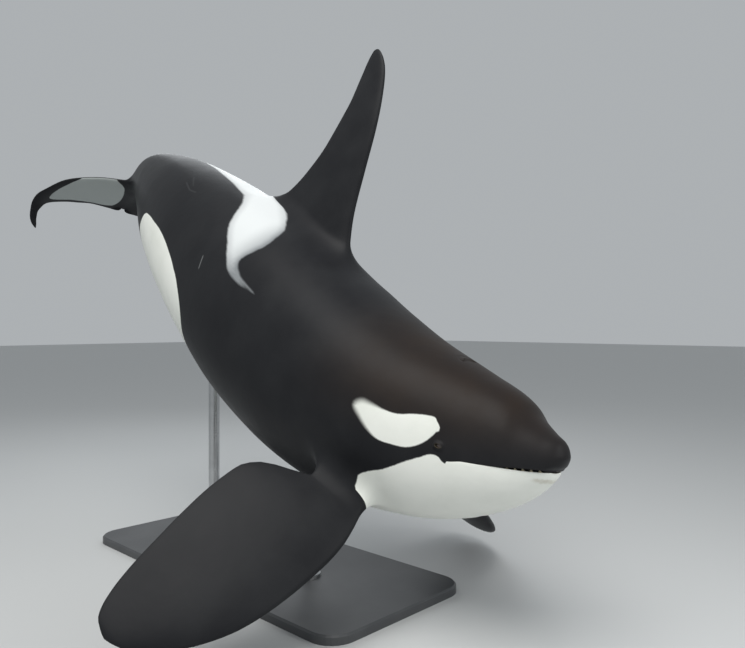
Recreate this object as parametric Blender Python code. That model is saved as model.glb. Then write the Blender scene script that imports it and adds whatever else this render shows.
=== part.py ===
"""Adult male orca as a life-size still model, held by a plain display stand.

Metres throughout. The animal heads along +X, +Y is its left, +Z is up, and the
underside of the stand is at zero. The body is shaped along a straight centre line
and then laid along a bent spine, so a place on it is given as (along, left, up),
where along runs from the tip of the snout towards the tail.
"""

import math
from dataclasses import dataclass

import bmesh
import bpy
import numpy as np
from mathutils import Matrix, Vector

# The thin cut between two neighbouring parts, and how finely bodies are divided
CUT = 0.0006
RING_SIDES = 30
SPINE_STEPS = 256
SPINE_END = 6.70

# How the middle of the body is held
MIDDLE = 2.688
MIDDLE_AT = (0.53695, 0.1236, 1.93)
NOSE_DOWN_DEG = 35.5
LEFT_SIDE_DOWN_DEG = 5.8

# Where the body begins and where it is parted
SNOUT_TIP = 0.020
NECK_CUT = 0.93
CHEST_CUT = 2.08
LOIN_CUT = 3.92
TAIL_END = 6.42

# Mouth: height of its line, its corner, the slope of the jaw's rear edge, the gap
MOUTH_UP = -0.044
MOUTH_CORNER = 0.565
MOUTH_CORNER_UP = -0.058
JAW_REAR = 0.80
JAW_BLOCK_REACH = 0.60
JAW_SET_BACK = 0.050
JAW_SET_BACK_END = 0.56
MOUTH_GAPE = 0.0125
GAPE_OPENS = (0.035, 0.100)
GAPE_SHUTS = (0.330, 0.190)
MOUTH_BEND = 0.47

# Lower teeth
TEETH_PER_SIDE = 5
FIRST_TOOTH = 0.122
LAST_TOOTH = 0.258
TOOTH_RADIUS = 0.0105
TOOTH_SIDES = 6
TOOTH_IN_LIP = 0.017
TOOTH_ROOT = 0.006
TOOTH_CLEAR = 0.0012

# Eyes
EYE_ALONG = 0.612
EYE_UP = 0.018
EYE_RADIUS = 0.030
EYE_SINK = 0.0215

# Dorsal fin: heights above the centre line, thickness as a share of its chord
DORSAL_ROOT_UP = 0.56
DORSAL_TIP_UP = 2.06
DORSAL_THICKNESS = 0.145

# Flippers: where each shoulder lies, how far its root runs in, its thickness
SHOULDER_ALONG = 1.228
SHOULDER_OUT = 0.462
SHOULDER_UP = -0.377
FLIPPER_ROOT_IN = 0.20
FLIPPER_THICKNESS = 0.115

# Flukes: thickness as a share of the chord
FLUKE_START = 5.86
FLUKE_THICKNESS = 0.115

# Stand
BASE_LENGTH = 3.00
BASE_WIDTH = 1.30
BASE_HEIGHT = 0.06
BASE_CENTRE = (0.38, 0.09)
BASE_CORNER = 0.18
BASE_BEVEL = 0.012
ROD_RADIUS = 0.045
ROD_SIDES = 28
COLLAR_RADIUS = 0.095
COLLAR_HEIGHT = 0.035
FRONT_ROD_X = 0.98
REAR_ROD_X = -0.22
ROD_IN_BODY = 0.25


@dataclass(frozen=True)
class Station:
    """One cross-section of the body, given where its shape changes."""

    along: float
    top: float
    bottom: float
    half_width: float
    widest_up: float
    fullness: float


BODY_STATIONS = (
    Station(0.020, 0.048, 0.000, 0.022, 0.024, 2.00),
    Station(0.027, 0.082, -0.034, 0.050, 0.018, 2.00),
    Station(0.045, 0.112, -0.080, 0.078, 0.012, 2.05),
    Station(0.120, 0.162, -0.148, 0.136, 0.004, 2.10),
    Station(0.225, 0.238, -0.220, 0.198, 0.000, 2.20),
    Station(0.290, 0.308, -0.257, 0.238, 0.000, 2.20),
    Station(0.385, 0.366, -0.306, 0.277, 0.000, 2.20),
    Station(0.575, 0.435, -0.392, 0.342, 0.006, 2.20),
    Station(0.830, 0.508, -0.484, 0.419, 0.012, 2.20),
    Station(1.150, 0.575, -0.573, 0.507, 0.012, 2.15),
    Station(1.600, 0.655, -0.655, 0.576, 0.000, 2.15),
    Station(2.110, 0.712, -0.709, 0.613, -0.013, 2.15),
    Station(2.620, 0.732, -0.732, 0.619, -0.019, 2.15),
    Station(3.200, 0.692, -0.703, 0.580, -0.013, 2.10),
    Station(3.780, 0.604, -0.638, 0.504, 0.000, 2.05),
    Station(4.350, 0.501, -0.538, 0.396, 0.010, 1.95),
    Station(4.930, 0.382, -0.372, 0.255, 0.015, 1.80),
    Station(5.440, 0.292, -0.250, 0.158, 0.018, 1.65),
    Station(5.820, 0.215, -0.170, 0.104, 0.012, 1.65),
    Station(6.110, 0.112, -0.088, 0.072, 0.006, 1.80),
    Station(6.420, 0.018, -0.016, 0.030, 0.000, 2.00),
)


@dataclass(frozen=True)
class SpineBend:
    """How fast the spine turns at a place, in degrees a metre towards the tail."""

    along: float
    down: float
    left: float


SPINE_BENDS = (
    SpineBend(0.00, 0.0, 0.0),
    SpineBend(0.90, -19.2, -7.0),
    SpineBend(1.80, -15.6, 0.0),
    SpineBend(2.70, -5.2, -3.5),
    SpineBend(3.60, 3.9, 4.0),
    SpineBend(4.50, 9.7, 11.2),
    SpineBend(5.40, 13.6, 8.3),
    SpineBend(5.62, 52.0, 5.0),
    SpineBend(5.78, 76.0, 4.0),
    SpineBend(5.95, 46.0, 3.0),
    SpineBend(6.20, 14.0, 2.0),
    SpineBend(6.70, 4.0, 2.0),
)


@dataclass(frozen=True)
class FinStation:
    """One chord of a fin: how far out it lies, its two edges and its rise."""

    out: float
    front: float
    rear: float
    rise: float = 0.0


@dataclass(frozen=True)
class FlukeStation(FinStation):
    """A chord of a fluke, with how far aside it lies and its turn inward in degrees."""

    reach: float = 0.0
    turn: float = 0.0


DORSAL_STATIONS = (
    FinStation(0.00, 2.190, 3.400),
    FinStation(0.12, 2.325, 3.285),
    FinStation(0.30, 2.500, 3.180),
    FinStation(0.50, 2.625, 3.128),
    FinStation(0.70, 2.748, 3.122),
    FinStation(0.85, 2.870, 3.148),
    FinStation(0.95, 2.985, 3.165),
    FinStation(1.00, 3.090, 3.160),
)

FLIPPER_STATIONS = (
    FinStation(0.00, -0.235, 0.060),
    FinStation(0.10, -0.270, 0.130),
    FinStation(0.19, -0.295, 0.300),
    FinStation(0.28, -0.312, 0.415),
    FinStation(0.38, -0.318, 0.462),
    FinStation(0.58, -0.308, 0.472),
    FinStation(0.77, -0.284, 0.460),
    FinStation(0.96, -0.240, 0.438),
    FinStation(1.15, -0.155, 0.412),
    FinStation(1.31, -0.040, 0.375),
    FinStation(1.42, 0.080, 0.322),
    FinStation(1.47, 0.170, 0.250),
)

FLUKE_STATIONS = (
    FlukeStation(0.000, 0.000, 0.670, 0.000, 0.000, 0.0),
    FlukeStation(0.060, 0.008, 0.728, 0.000, 0.060, 0.0),
    FlukeStation(0.160, 0.060, 0.735, -0.002, 0.160, 0.0),
    FlukeStation(0.320, 0.120, 0.730, -0.010, 0.320, 0.0),
    FlukeStation(0.500, 0.190, 0.755, -0.038, 0.500, 0.0),
    FlukeStation(0.670, 0.275, 0.745, -0.092, 0.670, 4.0),
    FlukeStation(0.810, 0.450, 0.737, -0.158, 0.806, 12.0),
    FlukeStation(0.880, 0.515, 0.728, -0.225, 0.866, 26.0),
    FlukeStation(0.940, 0.603, 0.718, -0.312, 0.892, 45.0),
    FlukeStation(0.985, 0.658, 0.742, -0.385, 0.886, 60.0),
    FlukeStation(1.020, 0.700, 0.760, -0.445, 0.866, 70.0),
    FlukeStation(1.050, 0.738, 0.764, -0.490, 0.838, 75.0),
)


@dataclass(frozen=True)
class FlipperPose:
    """How one flipper is held at its shoulder, in degrees."""

    side: int
    swept_back: float
    dipped: float
    twisted: float


RIGHT_FLIPPER = FlipperPose(-1, -5.7, 36.6, 29.0)
LEFT_FLIPPER = FlipperPose(1, 5.7, 28.6, 0.0)


def smooth_curve(places, values):
    """A smooth curve through points that never overshoots between them."""
    x = np.asarray(places, dtype=float)
    y = np.asarray(values, dtype=float)
    step = np.diff(x)
    slope = np.diff(y) / step
    tangent = np.zeros_like(y)
    tangent[0] = slope[0]
    tangent[-1] = slope[-1]
    for i in range(1, len(x) - 1):
        if slope[i - 1] * slope[i] > 0:
            weight_a = 2 * step[i] + step[i - 1]
            weight_b = step[i] + 2 * step[i - 1]
            tangent[i] = (weight_a + weight_b) / (weight_a / slope[i - 1] + weight_b / slope[i])

    def at(place):
        i = int(np.clip(np.searchsorted(x, place) - 1, 0, len(x) - 2))
        t = (min(max(place, x[0]), x[-1]) - x[i]) / step[i]
        start = (1 + 2 * t) * (1 - t) ** 2 * y[i] + t * (1 - t) ** 2 * step[i] * tangent[i]
        finish = t * t * (3 - 2 * t) * y[i + 1] + t * t * (t - 1) * step[i] * tangent[i + 1]
        return start + finish

    return at


def station_curve(stations, place_name, value_name):
    """The smooth curve of one field of a table of stations."""
    places = [getattr(station, place_name) for station in stations]
    return smooth_curve(places, [getattr(station, value_name) for station in stations])


class Spine:
    """The bent centre line, which carries straight places to their real ones."""

    def __init__(self):
        self.step = SPINE_END / SPINE_STEPS
        self.turn_down = station_curve(SPINE_BENDS, "along", "down")
        self.turn_left = station_curve(SPINE_BENDS, "along", "left")
        middle = round(MIDDLE / self.step)
        self.points = [None] * (SPINE_STEPS + 1)
        self.frames = [None] * (SPINE_STEPS + 1)
        pitch = Matrix.Rotation(math.radians(NOSE_DOWN_DEG), 3, "Y")
        bank = Matrix.Rotation(-math.radians(LEFT_SIDE_DOWN_DEG), 3, "X")
        hold = pitch @ bank
        self.points[middle] = Vector(MIDDLE_AT)
        straight = (Vector((-1, 0, 0)), Vector((0, 1, 0)), Vector((0, 0, 1)))
        self.frames[middle] = tuple(hold @ direction for direction in straight)
        for i in range(middle, SPINE_STEPS):
            self.walk(i, i + 1)
        for i in range(middle, 0, -1):
            self.walk(i, i - 1)

    def walk(self, here, there):
        """Place the next point of the centre line and turn its frame."""
        length = (there - here) * self.step
        tail, left, up = self.frames[here]
        down_turn = math.radians(self.turn_down(here * self.step)) * length
        left_turn = math.radians(self.turn_left(here * self.step)) * length
        new_tail = (tail - down_turn * up + left_turn * left).normalized()
        new_up = up + down_turn * tail
        new_up = (new_up - new_tail * new_up.dot(new_tail)).normalized()
        new_left = new_tail.cross(new_up)
        self.frames[there] = (new_tail, new_left, new_up)
        self.points[there] = self.points[here] + (tail + new_tail) * (length / 2)

    def frame(self, along):
        """The point and the tail, left and up directions at a place along."""
        place = min(max(along / self.step, 0.0), SPINE_STEPS - 1e-6)
        i = int(place)
        blend = place - i
        point = self.points[i].lerp(self.points[i + 1], blend)
        tail, left, up = (a.lerp(b, blend).normalized() for a, b in zip(self.frames[i], self.frames[i + 1]))
        if along < 0:
            point = point + tail * along
        return point, tail, left, up

    def lay(self, place):
        """Carry one straight (along, left, up) place to the bent body."""
        point, _, left, up = self.frame(place[0])
        return point + left * place[1] + up * place[2]


class BodyShape:
    """Cross-sections of the straight body."""

    def __init__(self):
        self.top = station_curve(BODY_STATIONS, "along", "top")
        self.bottom = station_curve(BODY_STATIONS, "along", "bottom")
        self.half_width = station_curve(BODY_STATIONS, "along", "half_width")
        self.widest_up = station_curve(BODY_STATIONS, "along", "widest_up")
        self.fullness = station_curve(BODY_STATIONS, "along", "fullness")

    def ring(self, along, grow=0.0):
        """The points round one cross-section, from the left side over the top."""
        inside = min(max(along, SNOUT_TIP), TAIL_END)
        middle = self.widest_up(inside)
        rise = self.top(inside) - middle + grow
        drop = middle - self.bottom(inside) + grow
        width = self.half_width(inside) + grow
        across_power = 2 / self.fullness(inside)
        upward_power = 2 / self.side_fullness(inside)
        points = []
        for i in range(RING_SIDES):
            angle = 2 * math.pi * i / RING_SIDES
            across = math.copysign(abs(math.cos(angle)) ** across_power, math.cos(angle))
            upward = math.copysign(abs(math.sin(angle)) ** upward_power, math.sin(angle))
            height = rise if upward > 0 else drop
            points.append((along, width * across, middle + height * upward))
        return points

    def side_fullness(self, along):
        """The fullness of the flanks, which stay round where the back has a keel."""
        return max(self.fullness(along), 2.0)

    def side_at(self, along, up):
        """Half the body's width at a height."""
        middle = self.widest_up(along)
        reach = self.top(along) - middle if up > middle else middle - self.bottom(along)
        share = min(abs(up - middle) / reach, 1.0)
        room = 1 - share ** self.side_fullness(along)
        return self.half_width(along) * room ** (1 / self.fullness(along))


SPINE = Spine()
BODY = BodyShape()


def finish_mesh(name, build_mesh, material, smooth=True):
    """Turn a bmesh into a named object with its own material."""
    bmesh.ops.recalc_face_normals(build_mesh, faces=build_mesh.faces)
    mesh = bpy.data.meshes.new(name)
    build_mesh.to_mesh(mesh)
    build_mesh.free()
    for polygon in mesh.polygons:
        polygon.use_smooth = smooth
    item = bpy.data.objects.new(name, mesh)
    bpy.context.scene.collection.objects.link(item)
    if material is not None:
        mesh.materials.append(material)
    return item


def loft(rings):
    """Join rings of points into one closed bmesh of triangles with flat ends.

    Its diagonals always run the same way, so that a grown copy of a body has no
    facet that dips into the body itself.
    """
    build_mesh = bmesh.new()
    rows = [[build_mesh.verts.new(point) for point in ring] for ring in rings]
    for row, next_row in zip(rows, rows[1:]):
        count = len(row)
        for i in range(count):
            j = (i + 1) % count
            build_mesh.faces.new((row[i], row[j], next_row[j]))
            build_mesh.faces.new((row[i], next_row[j], next_row[i]))
    build_mesh.faces.new(rows[0])
    build_mesh.faces.new(list(reversed(rows[-1])))
    return build_mesh


def body_places(start, end, count, nose_closer=1.0):
    """Places along the body, closer together at the start when the power is over 1."""
    return [start + (end - start) * (i / count) ** nose_closer for i in range(count + 1)]


def body_length(name, start, end, count, material, grow=0.0, nose_closer=1.0, set_back=None):
    """A closed length of the bent body between two flat cuts."""
    places = [(place, place) for place in body_places(start, end, count, nose_closer)]
    if grow > 0:
        places = [(start, start - grow)] + places + [(end, end + grow)]
    rings = []
    for shape_place, along in places:
        shift = set_back(along) if set_back else 0.0
        ring = BODY.ring(shape_place, grow)
        rings.append([SPINE.lay((along + shift, left, up)) for _, left, up in ring])
    return finish_mesh(name, loft(rings), material)


def jaw_set_back(along):
    """How far the lower jaw stands back from the upper one, nothing at its corner."""
    share = max(1 - along / JAW_SET_BACK_END, 0.0)
    return JAW_SET_BACK * share * share


def foil(share, sharpness=1.0):
    """Half the thickness of a fin section at a share of its chord, at most 0.5."""
    return 1.30 * math.sqrt(max(share, 0.0)) * (1 - share) ** sharpness


FOIL_SHARES = (0.0, 0.03, 0.12, 0.28, 0.48, 0.70, 0.88, 1.0)


def foil_ring(front, rear, thickness, place):
    """A closed fin section: down one face and back up the other."""
    chord = rear - front
    tallest = max(foil(share) for share in FOIL_SHARES)
    one_face = []
    other_face = []
    for share in FOIL_SHARES:
        half = thickness / 2 * (0.10 + 0.90 * foil(share) / tallest)
        if share in (0.0, 1.0):
            half *= 0.75
        one_face.append(place(front + chord * share, half))
        other_face.append(place(front + chord * share, -half))
    return one_face + list(reversed(other_face))


def fin_sections(stations, count, tip_closer=0.75):
    """Evenly shared sections of a fin, closer together at its tip."""
    front = station_curve(stations, "out", "front")
    rear = station_curve(stations, "out", "rear")
    rise = station_curve(stations, "out", "rise")
    first = stations[0].out
    last = stations[-1].out
    for i in range(count + 1):
        out = first + (last - first) * (i / count) ** tip_closer
        yield out, front(out), rear(out), rise(out)


def cut_away(item, cutters):
    """Take cutters out of an object for good."""
    for cutter in cutters:
        cut = item.modifiers.new("cut", "BOOLEAN")
        cut.operation = "DIFFERENCE"
        cut.solver = "EXACT"
        cut.object = cutter
        hide(cutter)
    bake_modifiers(item)


def keep_within(item, keeper):
    """Keep only what lies inside another solid."""
    keep = item.modifiers.new("keep", "BOOLEAN")
    keep.operation = "INTERSECT"
    keep.solver = "EXACT"
    keep.object = keeper
    hide(keeper)
    bake_modifiers(item)


def join_on(item, extra):
    """Join another solid to an object and drop the other."""
    join = item.modifiers.new("join", "BOOLEAN")
    join.operation = "UNION"
    join.solver = "EXACT"
    join.object = extra
    bake_modifiers(item)
    bpy.data.objects.remove(extra)


def bake_modifiers(item):
    """Write the result of an object's modifiers into its mesh."""
    graph = bpy.context.evaluated_depsgraph_get()
    mesh = bpy.data.meshes.new_from_object(item.evaluated_get(graph))
    item.modifiers.clear()
    item.data = mesh
    for polygon in mesh.polygons:
        polygon.use_smooth = True


def hide(item):
    """Mark a helper so that it isn't part of the model."""
    item.hide_render = True
    item.display_type = "WIRE"


def finish_material(name, colour, roughness, metallic=0.0):
    """A plain Principled material."""
    material = bpy.data.materials.new(name)
    material.use_nodes = True
    shader = material.node_tree.nodes["Principled BSDF"]
    shader.inputs["Base Color"].default_value = (*colour, 1.0)
    shader.inputs["Roughness"].default_value = roughness
    shader.inputs["Metallic"].default_value = metallic
    material.diffuse_color = (*colour, 1.0)
    return material


def smooth_share(start, end, value):
    """Rise smoothly from 0 at the start to 1 at the end, which may be the smaller one."""
    share = min(max((value - start) / (end - start), 0.0), 1.0)
    return share * share * (3 - 2 * share)


def gape_at(along):
    """How far the lips stand apart, widest where the teeth show."""
    share = smooth_share(*GAPE_OPENS, along) * smooth_share(*GAPE_SHUTS, along)
    return CUT + (MOUTH_GAPE - CUT) * share


def mouth_up(along):
    """Height of the middle of the mouth line."""
    share = smooth_share(MOUTH_BEND, MOUTH_CORNER, along)
    return MOUTH_UP + (MOUTH_CORNER_UP - MOUTH_UP) * share


def jaw_block(name, lift):
    """The block below the mouth line, its top raised or lowered by half the gap."""
    places = [-0.10] + body_places(0.0, MOUTH_CORNER, 16)
    outline = []
    for place in places:
        outline.append((place, mouth_up(place) + lift * gape_at(place) / 2))
    outline[-1] = (outline[-1][0] + lift * CUT / 2, outline[-1][1])
    outline.append((JAW_REAR + lift * CUT / 2, -JAW_BLOCK_REACH))
    outline.append((-0.10, -JAW_BLOCK_REACH))
    rings = []
    for left in (-JAW_BLOCK_REACH, JAW_BLOCK_REACH):
        rings.append([SPINE.lay((along, left, up)) for along, up in outline])
    return finish_mesh(name, loft(rings), None, smooth=False)


def tooth(along, side):
    """One blunt cone of the lower jaw, its root sunk in the jaw."""
    floor_up = mouth_up(along) - gape_at(along) / 2
    height = gape_at(along) - TOOTH_CLEAR
    lip_out = BODY.side_at(along - jaw_set_back(along - jaw_set_back(along)), floor_up)
    left = side * (lip_out - TOOTH_IN_LIP)
    rings = []
    for up, share in ((-TOOTH_ROOT, 1.0), (0.45, 0.86), (0.8, 0.58), (1.0, 0.22)):
        lift = up if up < 0 else up * height
        ring = []
        for i in range(TOOTH_SIDES):
            angle = 2 * math.pi * i / TOOTH_SIDES
            radius = TOOTH_RADIUS * share
            point = (along + radius * math.cos(angle), left + radius * math.sin(angle), floor_up + lift)
            ring.append(SPINE.lay(point))
        rings.append(ring)
    return rings


def teeth_row(name, side):
    """The lower teeth of one side as closed cones of one object."""
    build_mesh = bmesh.new()
    for i in range(TEETH_PER_SIDE):
        along = FIRST_TOOTH + (LAST_TOOTH - FIRST_TOOTH) * i / (TEETH_PER_SIDE - 1)
        one = loft(tooth(along, side))
        piece = bpy.data.meshes.new("tooth")
        one.to_mesh(piece)
        one.free()
        build_mesh.from_mesh(piece)
        bpy.data.meshes.remove(piece)
    return finish_mesh(name, build_mesh, None)


def eye_ball(name, side, radius, material):
    """An eyeball sunk into the side of the head."""
    out = BODY.side_at(EYE_ALONG, EYE_UP) - EYE_SINK
    build_mesh = bmesh.new()
    bmesh.ops.create_uvsphere(build_mesh, u_segments=14, v_segments=10, radius=radius)
    ball = finish_mesh(name, build_mesh, material)
    ball.location = SPINE.lay((EYE_ALONG, side * out, EYE_UP))
    return ball


def dorsal_fin(name, material):
    """The tall upright fin of a grown male, its root run into the back."""
    rings = []
    for share, front, rear, _ in fin_sections(DORSAL_STATIONS, 16):
        up = DORSAL_ROOT_UP + (DORSAL_TIP_UP - DORSAL_ROOT_UP) * share
        thick = DORSAL_THICKNESS * (rear - front)
        rings.append(foil_ring(front, rear, thick, lambda along, half, up=up: SPINE.lay((along, half, up))))
    return finish_mesh(name, loft(rings), material)


def flipper(name, pose, material):
    """A broad paddle, held stiffly at its shoulder."""
    point, tail, left, up = SPINE.frame(SHOULDER_ALONG)
    outward = left * pose.side
    shoulder = point + outward * SHOULDER_OUT + up * SHOULDER_UP
    swept = math.radians(pose.swept_back)
    dipped = math.radians(pose.dipped)
    reach = outward * (math.cos(dipped) * math.cos(swept))
    reach = (reach + tail * (math.cos(dipped) * math.sin(swept)) - up * math.sin(dipped)).normalized()
    chord = (tail - reach * tail.dot(reach)).normalized()
    chord = Matrix.Rotation(math.radians(pose.twisted) * pose.side, 3, reach) @ chord
    normal = reach.cross(chord)

    def place_at(out):
        return lambda back, half: shoulder + reach * out + chord * back + normal * half

    sections = list(fin_sections(FLIPPER_STATIONS, 13, 0.85))
    first = sections[0]
    rings = [foil_ring(first[1] * 0.8, first[2] * 0.8, 0.060, place_at(-FLIPPER_ROOT_IN))]
    for out, front, rear, _ in sections:
        thick = max(FLIPPER_THICKNESS * (rear - front), 0.012)
        rings.append(foil_ring(front, rear, thick, place_at(out)))
    return finish_mesh(name, loft(rings), material)


def fluke(name, side, material):
    """One half of the tail flukes, its tip curled down and in."""
    reach_at = station_curve(FLUKE_STATIONS, "out", "reach")
    turn_at = station_curve(FLUKE_STATIONS, "out", "turn")
    rings = []
    for out, front, rear, rise in fin_sections(FLUKE_STATIONS, 14, 0.85):
        middle = (front + rear) / 2
        reach = max(reach_at(out), CUT / 2)
        turn = math.radians(turn_at(out))
        thick = max(FLUKE_THICKNESS * (rear - front), 0.008)

        def place(back, half, middle=middle, reach=reach, turn=turn, rise=rise):
            along = FLUKE_START + middle + (back - middle) * math.cos(turn)
            left = side * (reach - (back - middle) * math.sin(turn))
            return SPINE.lay((along, left, rise + half))

        rings.append(foil_ring(front, rear, thick, place))
    return finish_mesh(name, loft(rings), material)


def stand_base(name, material):
    """A flat plate with round corners and a small bevel on its top edge."""
    outline = []
    corner_steps = 8
    half_length = BASE_LENGTH / 2 - BASE_CORNER
    half_width = BASE_WIDTH / 2 - BASE_CORNER
    for turn, (x_sign, y_sign) in enumerate(((1, 1), (-1, 1), (-1, -1), (1, -1))):
        for i in range(corner_steps + 1):
            angle = math.pi / 2 * (turn + i / corner_steps)
            outline.append((x_sign * half_length, y_sign * half_width, math.cos(angle), math.sin(angle)))

    def ring(inset, up):
        reach = BASE_CORNER - inset
        centre_x, centre_y = BASE_CENTRE
        return [(centre_x + x + reach * c, centre_y + y + reach * s, up) for x, y, c, s in outline]

    rings = [ring(0.0, 0.0), ring(0.0, BASE_HEIGHT - BASE_BEVEL), ring(BASE_BEVEL, BASE_HEIGHT)]
    return finish_mesh(name, loft(rings), material, smooth=False)


def round_ring(x, y, up, radius):
    """A level circle of points."""
    points = []
    for i in range(ROD_SIDES):
        angle = 2 * math.pi * i / ROD_SIDES
        points.append((x + radius * math.cos(angle), y + radius * math.sin(angle), up))
    return points


def belly_over(x):
    """The place on the middle of the belly above a point of the base."""
    best = None
    for i in range(400):
        along = 0.8 + i * 0.01
        point = SPINE.lay((along, 0.0, BODY.bottom(along)))
        if best is None or abs(point.x - x) < abs(best.x - x):
            best = point
    return best


def stand_rod(name, x, material):
    """An upright rod with a foot collar, up into the belly to be cut to its curve."""
    belly = belly_over(x)
    low = BASE_HEIGHT + CUT
    profile = (
        (low, COLLAR_RADIUS),
        (low + COLLAR_HEIGHT * 0.7, COLLAR_RADIUS),
        (low + COLLAR_HEIGHT, COLLAR_RADIUS * 0.85),
        (low + COLLAR_HEIGHT, ROD_RADIUS),
        (belly.z + ROD_IN_BODY, ROD_RADIUS),
    )
    rings = [round_ring(x, belly.y, up, radius) for up, radius in profile]
    rod = finish_mesh(name, loft(rings), material)
    rod.data.set_sharp_from_angle(angle=math.radians(40))
    return rod


def main():
    """Build every part of the model."""
    for item in list(bpy.data.objects):
        bpy.data.objects.remove(item)

    dark = (0.022, 0.023, 0.026)
    pale = (0.80, 0.82, 0.80)
    half_cut = CUT / 2

    head_skin = finish_material("head_skin", dark, 0.38)
    jaw_skin = finish_material("lower_jaw_skin", pale, 0.38)
    head_span = (SNOUT_TIP, NECK_CUT - half_cut, 15)
    head = body_length("head", *head_span, head_skin, nose_closer=1.5)
    lower_jaw = body_length("lower_jaw", *head_span, jaw_skin, nose_closer=1.5, set_back=jaw_set_back)
    chest_span = (NECK_CUT + half_cut, CHEST_CUT - half_cut, 8)
    trunk_span = (CHEST_CUT + half_cut, LOIN_CUT - half_cut, 10)
    tail_span = (LOIN_CUT + half_cut, TAIL_END, 17)
    body_length("chest", *chest_span, finish_material("chest_skin", dark, 0.38))
    body_length("trunk", *trunk_span, finish_material("trunk_skin", dark, 0.38))
    body_length("tail_stock", *tail_span, finish_material("tail_stock_skin", dark, 0.38))

    cut_away(head, [jaw_block("jaw_room", 1.0)])
    keep_within(lower_jaw, jaw_block("jaw_limit", -1.0))
    for side, label in ((-1, "right"), (1, "left")):
        join_on(lower_jaw, teeth_row("teeth_" + label, side))
        eye_finish = finish_material("eye_" + label + "_finish", (0.03, 0.018, 0.012), 0.08)
        eye_ball("eye_" + label, side, EYE_RADIUS, eye_finish)
        cut_away(head, [eye_ball("socket_" + label, side, EYE_RADIUS + CUT, None)])

    grown_chest = body_length("chest_room", *chest_span, None, grow=CUT)
    grown_trunk = body_length("trunk_room", *trunk_span, None, grow=CUT)
    grown_tail = body_length("tail_room", *tail_span, None, grow=CUT)

    fin = dorsal_fin("dorsal_fin", finish_material("dorsal_fin_skin", dark, 0.40))
    cut_away(fin, [grown_trunk])
    for pose, label in ((RIGHT_FLIPPER, "right"), (LEFT_FLIPPER, "left")):
        flipper_skin = finish_material("flipper_" + label + "_skin", dark, 0.40)
        cut_away(flipper("flipper_" + label, pose, flipper_skin), [grown_chest])
        fluke_skin = finish_material("fluke_" + label + "_skin", dark, 0.40)
        cut_away(fluke("fluke_" + label, pose.side, fluke_skin), [grown_tail])

    steel = (0.56, 0.57, 0.58)
    stand_base("stand_base", finish_material("stand_base_finish", (0.09, 0.09, 0.10), 0.45))
    for x, label in ((FRONT_ROD_X, "front"), (REAR_ROD_X, "rear")):
        rod_finish = finish_material("stand_rod_" + label + "_finish", steel, 0.30, 1.0)
        rod = stand_rod("stand_rod_" + label, x, rod_finish)
        cut_away(rod, [grown_chest, grown_trunk])
        rod.data.set_sharp_from_angle(angle=math.radians(40))


main()
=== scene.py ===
"""Looks of the life-size orca: one skin laid over the solids, its eyes, teeth and stand.

Metres throughout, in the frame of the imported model. The body is shaped along a
straight centre line and laid along a bent spine, as the solids are, so a place on
it is (along, left, up), with along running from the snout towards the tail. A place
on the skin of the body is also told by its girth, the share of the way round from
the middle of the back, 0, to the middle of the belly, 1.
"""

import logging
import math
from dataclasses import dataclass, field
from enum import Enum
from typing import Any, Callable, Sequence

import bmesh
import bpy
import numpy as np
from mathutils import Matrix, Vector


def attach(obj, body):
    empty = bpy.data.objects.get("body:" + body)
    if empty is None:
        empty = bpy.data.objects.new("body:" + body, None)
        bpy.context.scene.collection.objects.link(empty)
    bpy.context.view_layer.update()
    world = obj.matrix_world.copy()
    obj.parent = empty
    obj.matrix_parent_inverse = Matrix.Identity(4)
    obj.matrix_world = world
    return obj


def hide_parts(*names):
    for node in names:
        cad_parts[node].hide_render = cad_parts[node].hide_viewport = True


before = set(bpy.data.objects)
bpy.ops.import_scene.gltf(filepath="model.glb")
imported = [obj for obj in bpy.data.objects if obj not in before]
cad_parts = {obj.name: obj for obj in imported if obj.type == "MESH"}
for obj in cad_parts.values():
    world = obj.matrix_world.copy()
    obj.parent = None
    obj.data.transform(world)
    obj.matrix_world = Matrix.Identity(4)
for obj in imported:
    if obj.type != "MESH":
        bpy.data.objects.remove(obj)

Array = np.ndarray
LOG = logging.getLogger("orca")
PHOTO_WIDTH = 745


def smooth_step(low: float, high: float, value: Array | float) -> Array:
    """Rise smoothly from 0 to 1.

    Args:
        low: Where the rise begins; it may lie above high for a fall.
        high: Where it ends.
        value: Places to read it at.

    Returns:
        The risen share at each place.
    """
    share = np.clip((np.asarray(value, float) - low) / (high - low), 0.0, 1.0)
    return share * share * (3 - 2 * share)


def mix(first: Any, second: Any, share: Any) -> Any:
    """Blend two values by a share of the second."""
    return first + (second - first) * share


def unit(vectors: Array) -> Array:
    """Scale vectors in the last axis to length one."""
    return vectors / np.maximum(np.linalg.norm(vectors, axis=-1, keepdims=True), 1e-12)


def bell(value: Array, centre: float | Array, width: float) -> Array:
    """A hump of height one round a centre."""
    return np.exp(-(((value - centre) / width) ** 2))


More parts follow.
